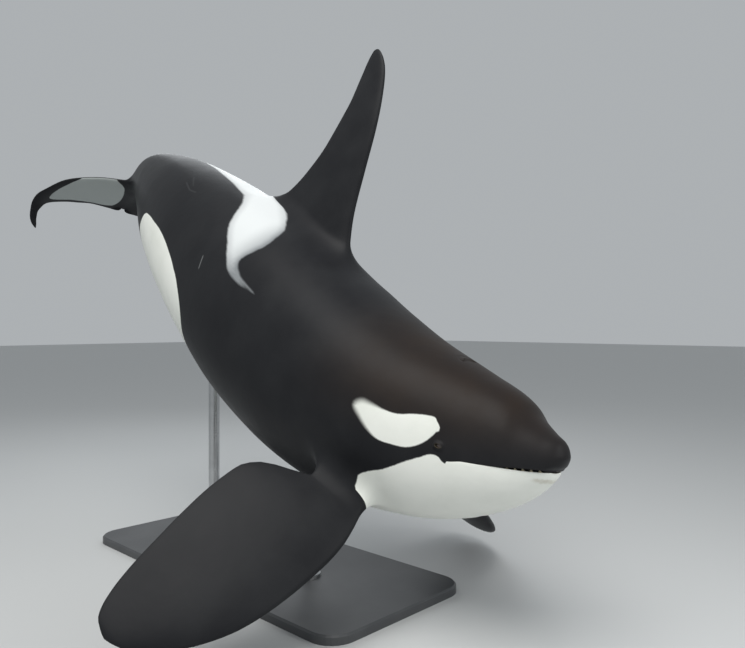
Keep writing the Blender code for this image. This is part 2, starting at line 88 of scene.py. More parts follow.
class SmoothCurve:
    """A smooth curve through points that never overshoots between them."""

    def __init__(self, places: Sequence[float], values: Sequence[float]) -> None:
        """Keep the points and work out a tangent at each.

        Args:
            places: Rising places.
            values: The value at each place.
        """
        self.x = np.asarray(places, float)
        self.y = np.asarray(values, float)
        self.step = np.diff(self.x)
        slope = np.diff(self.y) / self.step
        self.tangent = np.zeros_like(self.y)
        self.tangent[0], self.tangent[-1] = slope[0], slope[-1]
        for i in range(1, len(self.x) - 1):
            if slope[i - 1] * slope[i] > 0:
                before = 2 * self.step[i] + self.step[i - 1]
                after = self.step[i] + 2 * self.step[i - 1]
                self.tangent[i] = (before + after) / (before / slope[i - 1] + after / slope[i])

    def __call__(self, place: Array | float) -> Array:
        """Read the curve at one place or many.

        Args:
            place: Places; those past an end read that end.

        Returns:
            The values there.
        """
        place = np.clip(place, self.x[0], self.x[-1])
        i = np.clip(np.searchsorted(self.x, place) - 1, 0, len(self.x) - 2)
        t = (place - self.x[i]) / self.step[i]
        step = self.step[i]
        start = (1 + 2 * t) * (1 - t) ** 2 * self.y[i] + t * (1 - t) ** 2 * step * self.tangent[i]
        finish = t * t * (3 - 2 * t) * self.y[i + 1] + t * t * (t - 1) * step * self.tangent[i + 1]
        return start + finish


@dataclass
class Spine:
    """The bent centre line, walked in small steps exactly as the solids walk it.

    Each bend is (along, degrees a metre downwards, degrees a metre to the left).
    """

    steps: int = 256
    end: float = 6.70
    middle: float = 2.688
    middle_at: tuple[float, float, float] = (0.53695, 0.1236, 1.93)
    nose_down_deg: float = 35.5
    left_side_down_deg: float = 5.8
    bends: tuple[tuple[float, float, float], ...] = (
        (0.00, 0.0, 0.0), (0.90, -19.2, -7.0), (1.80, -15.6, 0.0), (2.70, -5.2, -3.5),
        (3.60, 3.9, 4.0), (4.50, 9.7, 11.2), (5.40, 13.6, 8.3), (5.62, 52.0, 5.0),
        (5.78, 76.0, 4.0), (5.95, 46.0, 3.0), (6.20, 14.0, 2.0), (6.70, 4.0, 2.0),
    )
    points: Array = field(init=False)
    frames: Array = field(init=False)

    def __post_init__(self) -> None:
        """Walk from the middle to both ends."""
        along = [bend[0] for bend in self.bends]
        down = SmoothCurve(along, [bend[1] for bend in self.bends])
        left = SmoothCurve(along, [bend[2] for bend in self.bends])
        step = self.end / self.steps
        start = round(self.middle / step)
        pitch = Matrix.Rotation(math.radians(self.nose_down_deg), 3, "Y")
        hold = pitch @ Matrix.Rotation(-math.radians(self.left_side_down_deg), 3, "X")
        straight = (Vector((-1, 0, 0)), Vector((0, 1, 0)), Vector((0, 0, 1)))
        points = {start: Vector(self.middle_at)}
        frames = {start: tuple(hold @ direction for direction in straight)}
        walks = [(i, i + 1) for i in range(start, self.steps)] + [(i, i - 1) for i in range(start, 0, -1)]
        for here, there in walks:
            length = (there - here) * step
            tail, side, up = frames[here]
            down_turn = math.radians(float(down(here * step))) * length
            left_turn = math.radians(float(left(here * step))) * length
            new_tail = (tail - down_turn * up + left_turn * side).normalized()
            new_up = up + down_turn * tail
            new_up = (new_up - new_tail * new_up.dot(new_tail)).normalized()
            frames[there] = (new_tail, new_tail.cross(new_up), new_up)
            points[there] = points[here] + (tail + new_tail) * (length / 2)
        self.points = np.array([points[i] for i in range(self.steps + 1)])
        self.frames = np.array([frames[i] for i in range(self.steps + 1)])

    def frame_at(self, along: Array) -> tuple[Array, Array]:
        """The centre points and the tail, left and up directions at places along.

        Args:
            along: Distances from the snout.

        Returns:
            Points of shape (..., 3) and frames of shape (..., 3, 3).
        """
        along = np.asarray(along, float)
        place = np.clip(along / (self.end / self.steps), 0.0, self.steps - 1e-6)
        i = place.astype(int)
        blend = (place - i)[..., None]
        point = mix(self.points[i], self.points[i + 1], blend)
        axes = unit(mix(self.frames[i], self.frames[i + 1], blend[..., None]))
        point = point + axes[..., 0, :] * np.minimum(along, 0.0)[..., None]
        return point, axes

    def lay(self, place: Array) -> Array:
        """Carry straight (along, left, up) places to the bent body."""
        point, axes = self.frame_at(place[..., 0])
        return point + axes[..., 1, :] * place[..., 1:2] + axes[..., 2, :] * place[..., 2:3]


@dataclass(frozen=True)
class Torso:
    """Cross-sections of the straight body, with a rounded tip of the snout.

    Each station is (along, top, bottom, half width, height of the widest place,
    fullness).
    """

    stations: tuple[tuple[float, ...], ...] = (
        (0.020, 0.070, -0.030, 0.040, 0.016, 2.00), (0.045, 0.112, -0.080, 0.078, 0.012, 2.05),
        (0.120, 0.162, -0.148, 0.136, 0.004, 2.10), (0.225, 0.238, -0.220, 0.198, 0.000, 2.20),
        (0.290, 0.308, -0.257, 0.238, 0.000, 2.20), (0.385, 0.366, -0.306, 0.277, 0.000, 2.20),
        (0.575, 0.435, -0.392, 0.342, 0.006, 2.20),
        (0.830, 0.508, -0.484, 0.419, 0.012, 2.20), (1.150, 0.575, -0.573, 0.507, 0.012, 2.15),
        (1.600, 0.655, -0.655, 0.576, 0.000, 2.15), (2.110, 0.712, -0.709, 0.613, -0.013, 2.15),
        (2.620, 0.732, -0.732, 0.619, -0.019, 2.15), (3.200, 0.692, -0.703, 0.580, -0.013, 2.10),
        (3.780, 0.604, -0.638, 0.504, 0.000, 2.05), (4.350, 0.501, -0.538, 0.396, 0.010, 1.95),
        (4.930, 0.382, -0.372, 0.255, 0.015, 1.80), (5.440, 0.292, -0.250, 0.158, 0.018, 1.65),
        (5.820, 0.215, -0.170, 0.104, 0.012, 1.65), (6.110, 0.112, -0.088, 0.072, 0.006, 1.80),
        (6.420, 0.018, -0.016, 0.030, 0.000, 2.00), (6.530, 0.004, -0.004, 0.018, 0.000, 2.00),
    )
    start: float = 0.020
    tip_up: float = 0.026
    tip_end: float = 0.120
    tip_stations: int = 5
    girth_steps: int = 180

    def sizes(self, along: Array) -> list[Array]:
        """The top, bottom, half width, widest height and fullness at places along.

        Args:
            along: Distances from the snout.

        Returns:
            Five arrays, one for each size.
        """
        along = np.maximum(np.asarray(along, float), self.start)
        table = np.array(self.stations)
        tip = table[: self.tip_stations].copy()
        tip[0, 1:5] = (self.tip_up, self.tip_up, 0.0, self.tip_up)
        share = smooth_step(self.tip_end, table[1, 0], along)
        values = []
        for column in range(1, 6):
            plain = SmoothCurve(table[:, 0], table[:, column])(along)
            from_tip = np.sqrt(tip[:, 0] - self.start)
            rounded = SmoothCurve(from_tip, tip[:, column])(np.sqrt(along - self.start))
            values.append(mix(plain, rounded, share))
        return values

    def place(self, along: Array, angle: Array) -> Array:
        """Straight places on the body.

        Args:
            along: Distances from the snout.
            angle: Turns round the section, 0 at the left side and a quarter at the top.

        Returns:
            Places (along, left, up).
        """
        along, angle = np.broadcast_arrays(np.asarray(along, float), np.asarray(angle, float))
        top, bottom, half_width, widest, fullness = self.sizes(along)
        across, upward = np.cos(angle), np.sin(angle)
        reach = np.where(upward > 0, top - widest, widest - bottom)
        left = half_width * np.sign(across) * np.abs(across) ** (2 / fullness)
        up = widest + reach * np.sign(upward) * np.abs(upward) ** (2 / np.maximum(fullness, 2.0))
        return np.stack([along, left, up], axis=-1)

    def angle_at(self, along: Array, up: Array) -> Array:
        """The angle on the left side whose place has a given height."""
        top, bottom, _, widest, fullness = self.sizes(along)
        reach = np.where(up > widest, top - widest, widest - bottom)
        share = np.clip(np.abs(up - widest) / np.maximum(reach, 1e-9), 0.0, 1.0)
        return np.sign(up - widest) * np.arcsin(share ** (np.maximum(fullness, 2.0) / 2))

    def half_girth(self, along: float) -> tuple[Array, Array]:
        """Angles from the back to the belly over the left side, and the length so far."""
        angle = np.linspace(math.pi / 2, -math.pi / 2, self.girth_steps)
        points = self.place(np.full_like(angle, along), angle)
        lengths = np.concatenate([[0.0], np.cumsum(np.linalg.norm(np.diff(points, axis=0), axis=1))])
        return angle, lengths


@dataclass(frozen=True)
class Mouth:
    """The line of the mouth, the gap between its lips and how the lower jaw is set."""

    up: float = -0.044
    corner: float = 0.565
    corner_up: float = -0.058
    set_back: float = 0.050
    set_back_end: float = 0.56
    bend: float = 0.47
    gape: float = 0.0125
    gape_opens: tuple[float, float] = (0.035, 0.100)
    gape_shuts: tuple[float, float] = (0.330, 0.190)
    closed_gap: float = 0.0012
    lip_recede: float = 0.022
    recede_up: tuple[float, float] = (0.040, -0.036)
    recede_along: tuple[float, float] = (0.13, 0.02)
    lip_curl: float = 0.026
    curl_up: tuple[float, float] = (0.000, -0.046)
    curl_along: tuple[float, float] = (0.17, 0.02)

    def line_up(self, along: Array) -> Array:
        """Height of the middle of the mouth line, which bends down to its corner."""
        return mix(self.up, self.corner_up, smooth_step(self.bend, self.corner, along))

    def gap(self, along: Array) -> Array:
        """How far the lips stand apart."""
        share = smooth_step(*self.gape_opens, along) * smooth_step(*self.gape_shuts, along)
        return mix(self.closed_gap, self.gape, share)

    def jaw_shift(self, along: Array) -> Array:
        """How far back a place of the lower jaw stands."""
        return self.set_back * np.clip(1 - np.asarray(along, float) / self.set_back_end, 0.0, 1.0) ** 2

    def lip_back(self, straight: Array) -> Array:
        """How far the front of the upper lip draws back, most at its lowest part."""
        along, up = straight[..., 0], straight[..., 2]
        low = smooth_step(*self.recede_up, up) * smooth_step(*self.recede_along, along)
        lowest = smooth_step(*self.curl_up, up) * smooth_step(*self.curl_along, along)
        return self.lip_recede * low + self.lip_curl * lowest ** 2


class Part(Enum):
    """What a place of the skin belongs to."""

    BACK = 0
    JAW = 1
    FIN = 2
    FLUKE_TOP = 3
    FLUKE_UNDER = 4


@dataclass
class Sheets:
    """Grids of points gathered into one mesh, joined where their edges meet."""

    columns: dict[str, list[Array]] = field(default_factory=dict)
    quads: list[Array] = field(default_factory=list)
    corners: list[Array] = field(default_factory=list)
    count: int = 0
    merge_distance: float = 3e-5
    melt_pull: float = 0.5
    melt_rounds: int = 50

    def add(self, world: Array, straight: Array, girth: Array, chart: Array,
            part: Part = Part.BACK, lining: Array | float = 0.0, keep: Array | None = None,
            fade: Array | float = 0.0, melt: Array | float = 0.0) -> None:
        """Add one grid of points.

        Args:
            world: Places of shape (rows, columns, 3).
            straight: The same places on the straight body.
            girth: The share of the way from back to belly.
            chart: The places' coordinates on the flat map.
            part: What the sheet belongs to.
            lining: How far each place is inside the mouth or an eye, 0 to 1.
            keep: Which of the grid's faces to make, all where it is None.
            fade: How far each place has left the body for a fin, 0 to 1.
            melt: How much each place is smoothed with its neighbours, 0 to 1.
        """
        rows, across = world.shape[:2]
        index = self.count + np.arange(rows * across).reshape(rows, across)
        values = {
            "world": world, "straight": straight, "girth": girth, "lining": lining,
            "part": float(part.value), "fade": fade, "melt": melt,
        }
        for name, value in values.items():
            shape = (rows, across, 3) if name in ("world", "straight") else (rows, across)
            flat = np.broadcast_to(value, shape).reshape(rows * across, -1)
            self.columns.setdefault(name, []).append(flat)
        quad = np.stack([index[:-1, :-1], index[1:, :-1], index[1:, 1:], index[:-1, 1:]], axis=-1)
        corner = np.stack([chart[:-1, :-1], chart[1:, :-1], chart[1:, 1:], chart[:-1, 1:]], axis=2)
        kept = np.ones(quad.shape[:2], bool) if keep is None else keep
        self.quads.append(quad[kept])
        self.corners.append(corner[kept])
        self.count += rows * across

    def gather(self, name: str) -> Array:
        """One value of every point, as a flat array."""
        whole = np.concatenate(self.columns[name])
        return whole if name in ("world", "straight") else whole[:, 0]

    def build(self, name: str, values: dict[str, Array]) -> bpy.types.Object:
        """Make the mesh.

        Args:
            name: The name of the piece.
            values: Values of each point to keep on the mesh, numbers or vectors.

        Returns:
            The new object.
        """
        quads = np.concatenate(self.quads)
        mesh = bpy.data.meshes.new(name)
        mesh.from_pydata(self.gather("world").tolist(), [], quads.tolist())
        layer = mesh.uv_layers.new(name="OFBake")
        layer.data.foreach_set("uv", np.concatenate(self.corners).astype(np.float32).ravel())
        for label, value in values.items():
            vector = value.ndim == 2
            kind = "FLOAT_VECTOR" if vector else "FLOAT"
            attribute = mesh.attributes.new(label, kind, "POINT")
            attribute.data.foreach_set("vector" if vector else "value", value.astype(np.float32).ravel())
        work = bmesh.new()
        work.from_mesh(mesh)
        bmesh.ops.remove_doubles(work, verts=work.verts, dist=self.merge_distance)
        loose = [vert for vert in work.verts if not vert.link_faces]
        bmesh.ops.delete(work, geom=loose, context="VERTS")
        self.smooth(work)
        bmesh.ops.recalc_face_normals(work, faces=work.faces)
        for face in work.faces:
            face.smooth = True
        work.to_mesh(mesh)
        open_edges = sum(1 for edge in work.edges if len(edge.link_faces) != 2)
        LOG.info("%s: %d faces, %d open edges", name, len(work.faces), open_edges)
        work.free()
        piece = bpy.data.objects.new(name, mesh)
        bpy.context.scene.collection.objects.link(piece)
        return piece

    def smooth(self, work: bmesh.types.BMesh) -> None:
        """Round the places that melt into one another, and drop the value that tells them.

        Args:
            work: The joined mesh, changed in place.
        """
        layer = work.verts.layers.float["melt"]
        work.verts.index_update()
        places = np.array([vert.co for vert in work.verts])
        pull = np.array([vert[layer] for vert in work.verts])[:, None] * self.melt_pull
        ends = np.array([[vert.index for vert in edge.verts] for edge in work.edges])
        ends = ends[pull[ends].max(axis=(1, 2)) > 0]
        first, second = np.concatenate([ends, ends[:, ::-1]]).T
        number = np.maximum(np.bincount(first, minlength=len(places)), 1)[:, None]
        for _ in range(self.melt_rounds):
            total = np.stack([np.bincount(first, places[second, i], len(places)) for i in range(3)], axis=1)
            places = places + (total / number - places) * pull
        for vert, place in zip(work.verts, places.tolist()):
            vert.co = place
        work.verts.layers.float.remove(layer)


@dataclass
class Hull:
    """The grid of the body's skin, in rows from snout to tail and columns round it.

    Column 0 is the middle of the belly, and the columns rise over the left side to
    the back and go down the right side. In front of the corner of the mouth the
    grid has two layers, the upper one for the head and the lower one for the jaw.
    """

    spine: Spine
    torso: Torso
    mouth: Mouth
    columns: int = 180
    snout_step: float = 0.0110
    snout_rows: int = 34
    lip_deg: float = -8.0
    spacing: tuple[tuple[float, float], ...] = (
        (0.0, 0.0090), (0.15, 0.0092), (0.56, 0.0105), (0.95, 0.0120), (1.30, 0.0230),
        (2.10, 0.0320), (3.50, 0.0340), (5.00, 0.0380), (5.80, 0.0260), (6.53, 0.0180),
    )
    end: float = 6.53
    last_step: float = 0.007
    lip_end: float = 1.05
    jaw_apart: float = 0.02
    jaw_tip_deg: float = -72.0
    melt_stop: float = 0.20
    slant_along: float = 1.24
    slant_length: float = 0.22
    slant_limit: float = 1.3
    slant_begins: tuple[float, float] = (0.66, 1.00)
    slant_ends: tuple[float, float] = (2.10, 1.50)
    slant_deg: float = -13.0
    slant_middle: float = 220.0
    slant_reach: float = 42.0
    along: Array = field(init=False)
    corner_row: int = field(init=False)
    upper: dict[str, Array] = field(init=False)
    lower: dict[str, Array] = field(init=False)

    def __post_init__(self) -> None:
        """Lay out the rows and both layers of the grid."""
        self.along = self.row_places()
        self.corner_row = int(np.argmin(np.abs(self.along - self.mouth.corner)))
        self.along[self.corner_row] = self.mouth.corner
        self.upper = self.layer(jaw=False)
        self.lower = self.layer(jaw=True)

    def row_places(self) -> Array:
        """Distances of the rows from the snout, closest together at its tip.

        Returns:
            Rising distances.
        """
        places = [self.torso.start + (self.snout_step * i) ** 2 for i in range(self.snout_rows)]
        step = SmoothCurve(*zip(*self.spacing))
        while places[-1] < self.end - self.last_step:
            places.append(places[-1] + float(step(places[-1])))
        places[-1] = self.end
        return np.array(places)

    def lip_angle(self, jaw: bool) -> Array:
        """The angle of the column that carries the lip, row by row.

        Args:
            jaw: Whether it is the lower layer, for the jaw.

        Returns:
            Angles in radians.
        """
        shift = self.mouth.jaw_shift(self.along) if jaw else 0.0
        place = self.along + shift
        half_gap = self.mouth.gap(place) / 2 + MouthLining().lip_roll(place, self.mouth.corner)
        half_gap = np.where(self.along < self.mouth.corner, half_gap, 0.0) * (-1 if jaw else 1)
        angle = self.torso.angle_at(self.along, self.mouth.line_up(place) + half_gap)
        behind = smooth_step(self.mouth.corner, self.lip_end, self.along)
        held = np.where(self.along < self.mouth.corner, angle, angle[self.corner_row])
        return mix(held, math.radians(self.lip_deg), behind)

    def layer(self, jaw: bool) -> dict[str, Array]:
        """One layer of the grid.

        Args:
            jaw: Whether it is the lower layer, for the jaw.

        Returns:
            Arrays of world and straight places, normals, girth shares and flat
            coordinates in metres.
        """
        straight = self.torso.place(self.along[:, None], self.column_angles(jaw))
        if jaw:
            straight[..., 0] += self.mouth.jaw_shift(self.along)[:, None]
        else:
            straight[..., 0] += self.mouth.lip_back(straight)
        world = self.spine.lay(straight)
        steps = np.linalg.norm(np.diff(world, axis=1), axis=2)
        top = self.columns // 2
        lengths = np.concatenate([np.zeros((len(world), 1)), np.cumsum(steps, axis=1)], axis=1)
        lengths = lengths - lengths[:, top : top + 1]
        half = np.maximum(lengths[:, -1:], 1e-6)
        girth = np.abs(lengths) / half
        normal = self.normals(world)
        relief = BodyRelief().height(straight, girth, half)
        world = world + normal * relief[..., None]
        chart = np.stack([np.broadcast_to(self.along[:, None], girth.shape), lengths], axis=-1)
        if jaw:
            apart = self.jaw_apart * smooth_step(self.mouth.corner, 0.0, self.along)[:, None]
            chart[..., 1] += apart * np.sign(lengths)
            tip = 1 + int(np.argmax(self.lip_angle(jaw) > math.radians(self.jaw_tip_deg)))
            centre = world[tip, [0, self.column_at(self.lip_deg), self.column_at(180.0 - self.lip_deg)]]
            world[: tip + 1] = centre.mean(axis=0)
        return {"world": world, "straight": straight, "girth": girth, "normal": self.normals(world),
                "chart": chart}

    def column_angles(self, jaw: bool) -> Array:
        """Where every column stands in each row, one of them on the lip.

        Args:
            jaw: Whether it is the lower layer, for the jaw.

        Returns:
            Angles in radians, row by row.
        """
        turn = np.radians(np.linspace(-90.0, 270.0, self.columns + 1))[None, :]
        folded = np.where(turn <= math.pi / 2, turn, math.pi - turn)
        lip = math.radians(self.lip_deg)
        above = ((math.pi / 2 - folded) / (math.pi / 2 - lip)) ** 2
        below = ((math.pi / 2 + folded) / (math.pi / 2 + lip)) ** 2
        pull = np.where(folded >= lip, above, below)
        angle = folded + (self.lip_angle(jaw)[:, None] - lip) * pull
        return np.where(turn <= math.pi / 2, angle, math.pi - angle) + self.slant(turn)

    def melt_share(self, along: Array) -> Array:
        """How freely fins melt into the body, not at all at the notch of the flukes."""
        return smooth_step(self.end, self.end - self.melt_stop, along)

    def slant(self, turn: Array) -> Array:
        """How far the columns lean round the body where the right flipper grows aslant."""
        run = (self.along - self.slant_along) / self.slant_length
        run = np.clip(run, -self.slant_limit, self.slant_limit)
        run = run * smooth_step(*self.slant_begins, self.along) * smooth_step(*self.slant_ends, self.along)
        off = np.clip((np.degrees(turn) - self.slant_middle) / self.slant_reach, -1.0, 1.0)
        return math.radians(self.slant_deg) * run[:, None] * np.cos(off * math.pi / 2) ** 2

    def normals(self, world: Array) -> Array:
        """Outward normals of a grid that closes on itself round the body.

        Args:
            world: Places, row by row.

        Returns:
            A direction for each place.
        """
        down_rows = np.gradient(world, axis=0)
        wrapped = np.concatenate([world[:, -2:-1], world, world[:, 1:2]], axis=1)
        round_body = (wrapped[:, 2:] - wrapped[:, :-2]) / 2
        normal = unit(np.cross(round_body, down_rows))
        centre = world.mean(axis=1, keepdims=True)
        outward = np.sign(np.sum(normal * (world - centre), axis=(1, 2)))[:, None, None]
        return normal * np.where(outward == 0, 1, outward)

    def column_at(self, degrees: float) -> int:
        """The column nearest to an angle, counted from the left side over the top."""
        return int(round((degrees + 90.0) / 360.0 * self.columns))

    def row_at(self, along: float) -> int:
        """The row nearest to a distance from the snout."""
        return int(np.argmin(np.abs(self.along - along)))

    def read(self, name: str, row: Array, column: Array) -> Array:
        """Read the upper layer between its points, smoothly through them.

        Args:
            name: Which array of the layer.
            row: Row numbers with fractions.
            column: Column numbers with fractions.

        Returns:
            The values there.
        """
        grid = self.upper[name]
        first_row = np.clip(np.floor(row).astype(int), 1, len(grid) - 3)
        first_column = np.floor(column).astype(int)
        weights = [self.blend(row - first_row), self.blend(column - first_column)]
        total = 0.0
        for i in range(4):
            for j in range(4):
                columns = (first_column + j - 1) % self.columns
                part = grid[first_row + i - 1, columns]
                weight = weights[0][i] * weights[1][j]
                total = total + part * (weight[..., None] if part.ndim > weight.ndim else weight)
        return total

    @staticmethod
    def blend(t: Array) -> list[Array]:
        """The four weights of a smooth curve through points, at a share between two.

        Args:
            t: The share.

        Returns:
            Weights of the points, in order.
        """
        return [
            ((2 - t) * t - 1) * t / 2,
            ((3 * t - 5) * t * t + 2) / 2,
            ((4 - 3 * t) * t + 1) * t / 2,
            (t - 1) * t * t / 2,
        ]


@dataclass(frozen=True)
class BodyRelief:
    """Low swells and furrows of the body that its cross-sections don't hold."""

    neck_along: float = 0.93
    neck_lean: float = 0.10
    neck_width: float = 0.10
    neck_depth: float = 0.004
    neck_girth: tuple[float, float] = (0.15, 0.4)
    throat_depth: float = 0.003
    throat_pitch: float = 0.035
    throat_girth: tuple[float, float] = (0.80, 1.0)
    throat_begins: tuple[float, float] = (0.25, 0.45)
    throat_ends: tuple[float, float] = (1.1, 0.8)

    def height(self, straight: Array, girth: Array, half: Array) -> Array:
        """How far the skin stands out of its cross-sections, in metres.

        Args:
            straight: Straight places.
            girth: Shares of the way from back to belly.
            half: Half the girth of each row.

        Returns:
            Heights along the normal.
        """
        along = straight[..., 0]
        neck = -self.neck_depth * bell(along - self.neck_along - self.neck_lean * girth, 0.0, self.neck_width)
        neck = neck * smooth_step(*self.neck_girth, girth)
        throat = -self.throat_depth * np.sin(girth * half / self.throat_pitch) ** 2
        throat = throat * smooth_step(*self.throat_girth, girth)
        throat = throat * smooth_step(*self.throat_begins, along) * smooth_step(*self.throat_ends, along)
        return neck + throat


@dataclass(frozen=True)
class Gap:
    """A rectangle of the hull's grid left open for a fin or an opening.

    Its edge is walked from the middle of its front over the far column side to the
    rear and back along the near column side.
    """

    first_row: int
    last_row: int
    first_column: int
    last_column: int

    @property
    def half_width(self) -> int:
        """Half the number of columns across."""
        return (self.last_column - self.first_column) // 2

    @property
    def length(self) -> int:
        """The number of rows along."""
        return self.last_row - self.first_row

    def edge(self) -> tuple[Array, Array]:
        """Rows and columns of the edge's points, the first one again at the end.

        Returns:
            Row numbers and column numbers.
        """
        middle = self.first_column + self.half_width
        far = [(self.first_row, middle + i) for i in range(self.half_width)]
        far += [(self.first_row + i, self.last_column) for i in range(self.length)]
        far += [(self.last_row, self.last_column - i) for i in range(self.half_width)]
        near = [(self.last_row, middle - i) for i in range(self.half_width)]
        near += [(self.last_row - i, self.first_column) for i in range(self.length)]
        near += [(self.first_row, self.first_column + i) for i in range(self.half_width + 1)]
        rows, columns = zip(*(far + near))
        return np.array(rows), np.array(columns)

    def cells_away(self, row: Array, column: Array, columns: int) -> Array:
        """How many cells of the grid lie between its points and the gap."""
        over = np.maximum(self.first_row - row, row - self.last_row)
        turned = (column - self.first_column) % columns
        width = self.last_column - self.first_column
        aside = np.where(turned <= width, -1, np.minimum(turned - width, columns - turned))
        return np.hypot(np.maximum(over, 0), np.maximum(aside, 0))

    def holds(self, row: Array, column: Array, columns: int) -> Array:
        """Which faces of the grid lie in the gap, told by their first row and column."""
        inside_rows = (row >= self.first_row) & (row < self.last_row)
        turned = (column - self.first_column) % columns
        return inside_rows & (turned < self.last_column - self.first_column)


@dataclass
class Atlas:
    """The flat map of the skin, a square that holds the body and islands in rows."""

    side: float = 6.90
    margin: float = 0.03
    density: tuple[tuple[float, float], ...] = (
        (0.0, 1.70), (0.6, 1.60), (0.95, 1.25), (1.3, 1.05), (2.0, 0.92), (6.53, 0.95),
    )
    density_steps: int = 600
    body_height: float = 4.06
    shelf: float = field(default=0.0, init=False)
    shelf_height: float = field(default=0.0, init=False)
    cursor: float = field(default=0.0, init=False)

    def __post_init__(self) -> None:
        """Start the first row of islands above the body."""
        self.shelf = self.body_height + self.margin

    def body(self, chart: Array) -> Array:
        """Put the body's own (along, length round) coordinates on the map.

        Args:
            chart: Coordinates in metres.

        Returns:
            Coordinates on the map.
        """
        density = SmoothCurve(*zip(*self.density))
        places = np.linspace(0.0, self.density[-1][0], self.density_steps)
        reach = np.concatenate([[0.0], np.cumsum(density((places[1:] + places[:-1]) / 2) * np.diff(places))])
        x = np.interp(chart[..., 0], places, reach) + self.margin
        y = chart[..., 1] * density(chart[..., 0]) + self.body_height / 2
        return np.stack([x, y], axis=-1) / self.side

    def island(self, chart: Array, scale: float) -> Array:
        """Put an island next to the last one, on a new row where it is full.

        Args:
            chart: The island's coordinates in metres.
            scale: Its density on the map.

        Returns:
            Its coordinates on the map.
        """
        low = chart.min(axis=(0, 1))
        size = (chart.max(axis=(0, 1)) - low) * scale
        if self.cursor + size[0] + self.margin > self.side:
            self.shelf += self.shelf_height + self.margin
            self.cursor = self.shelf_height = 0.0
        corner = np.array([self.cursor + self.margin, self.shelf])
        self.cursor += size[0] + self.margin
        self.shelf_height = max(self.shelf_height, size[1])
        if self.shelf + self.shelf_height > self.side:
            LOG.warning("the flat map is over full by %.2f m", self.shelf + self.shelf_height - self.side)
        return ((chart - low) * scale + corner) / self.side


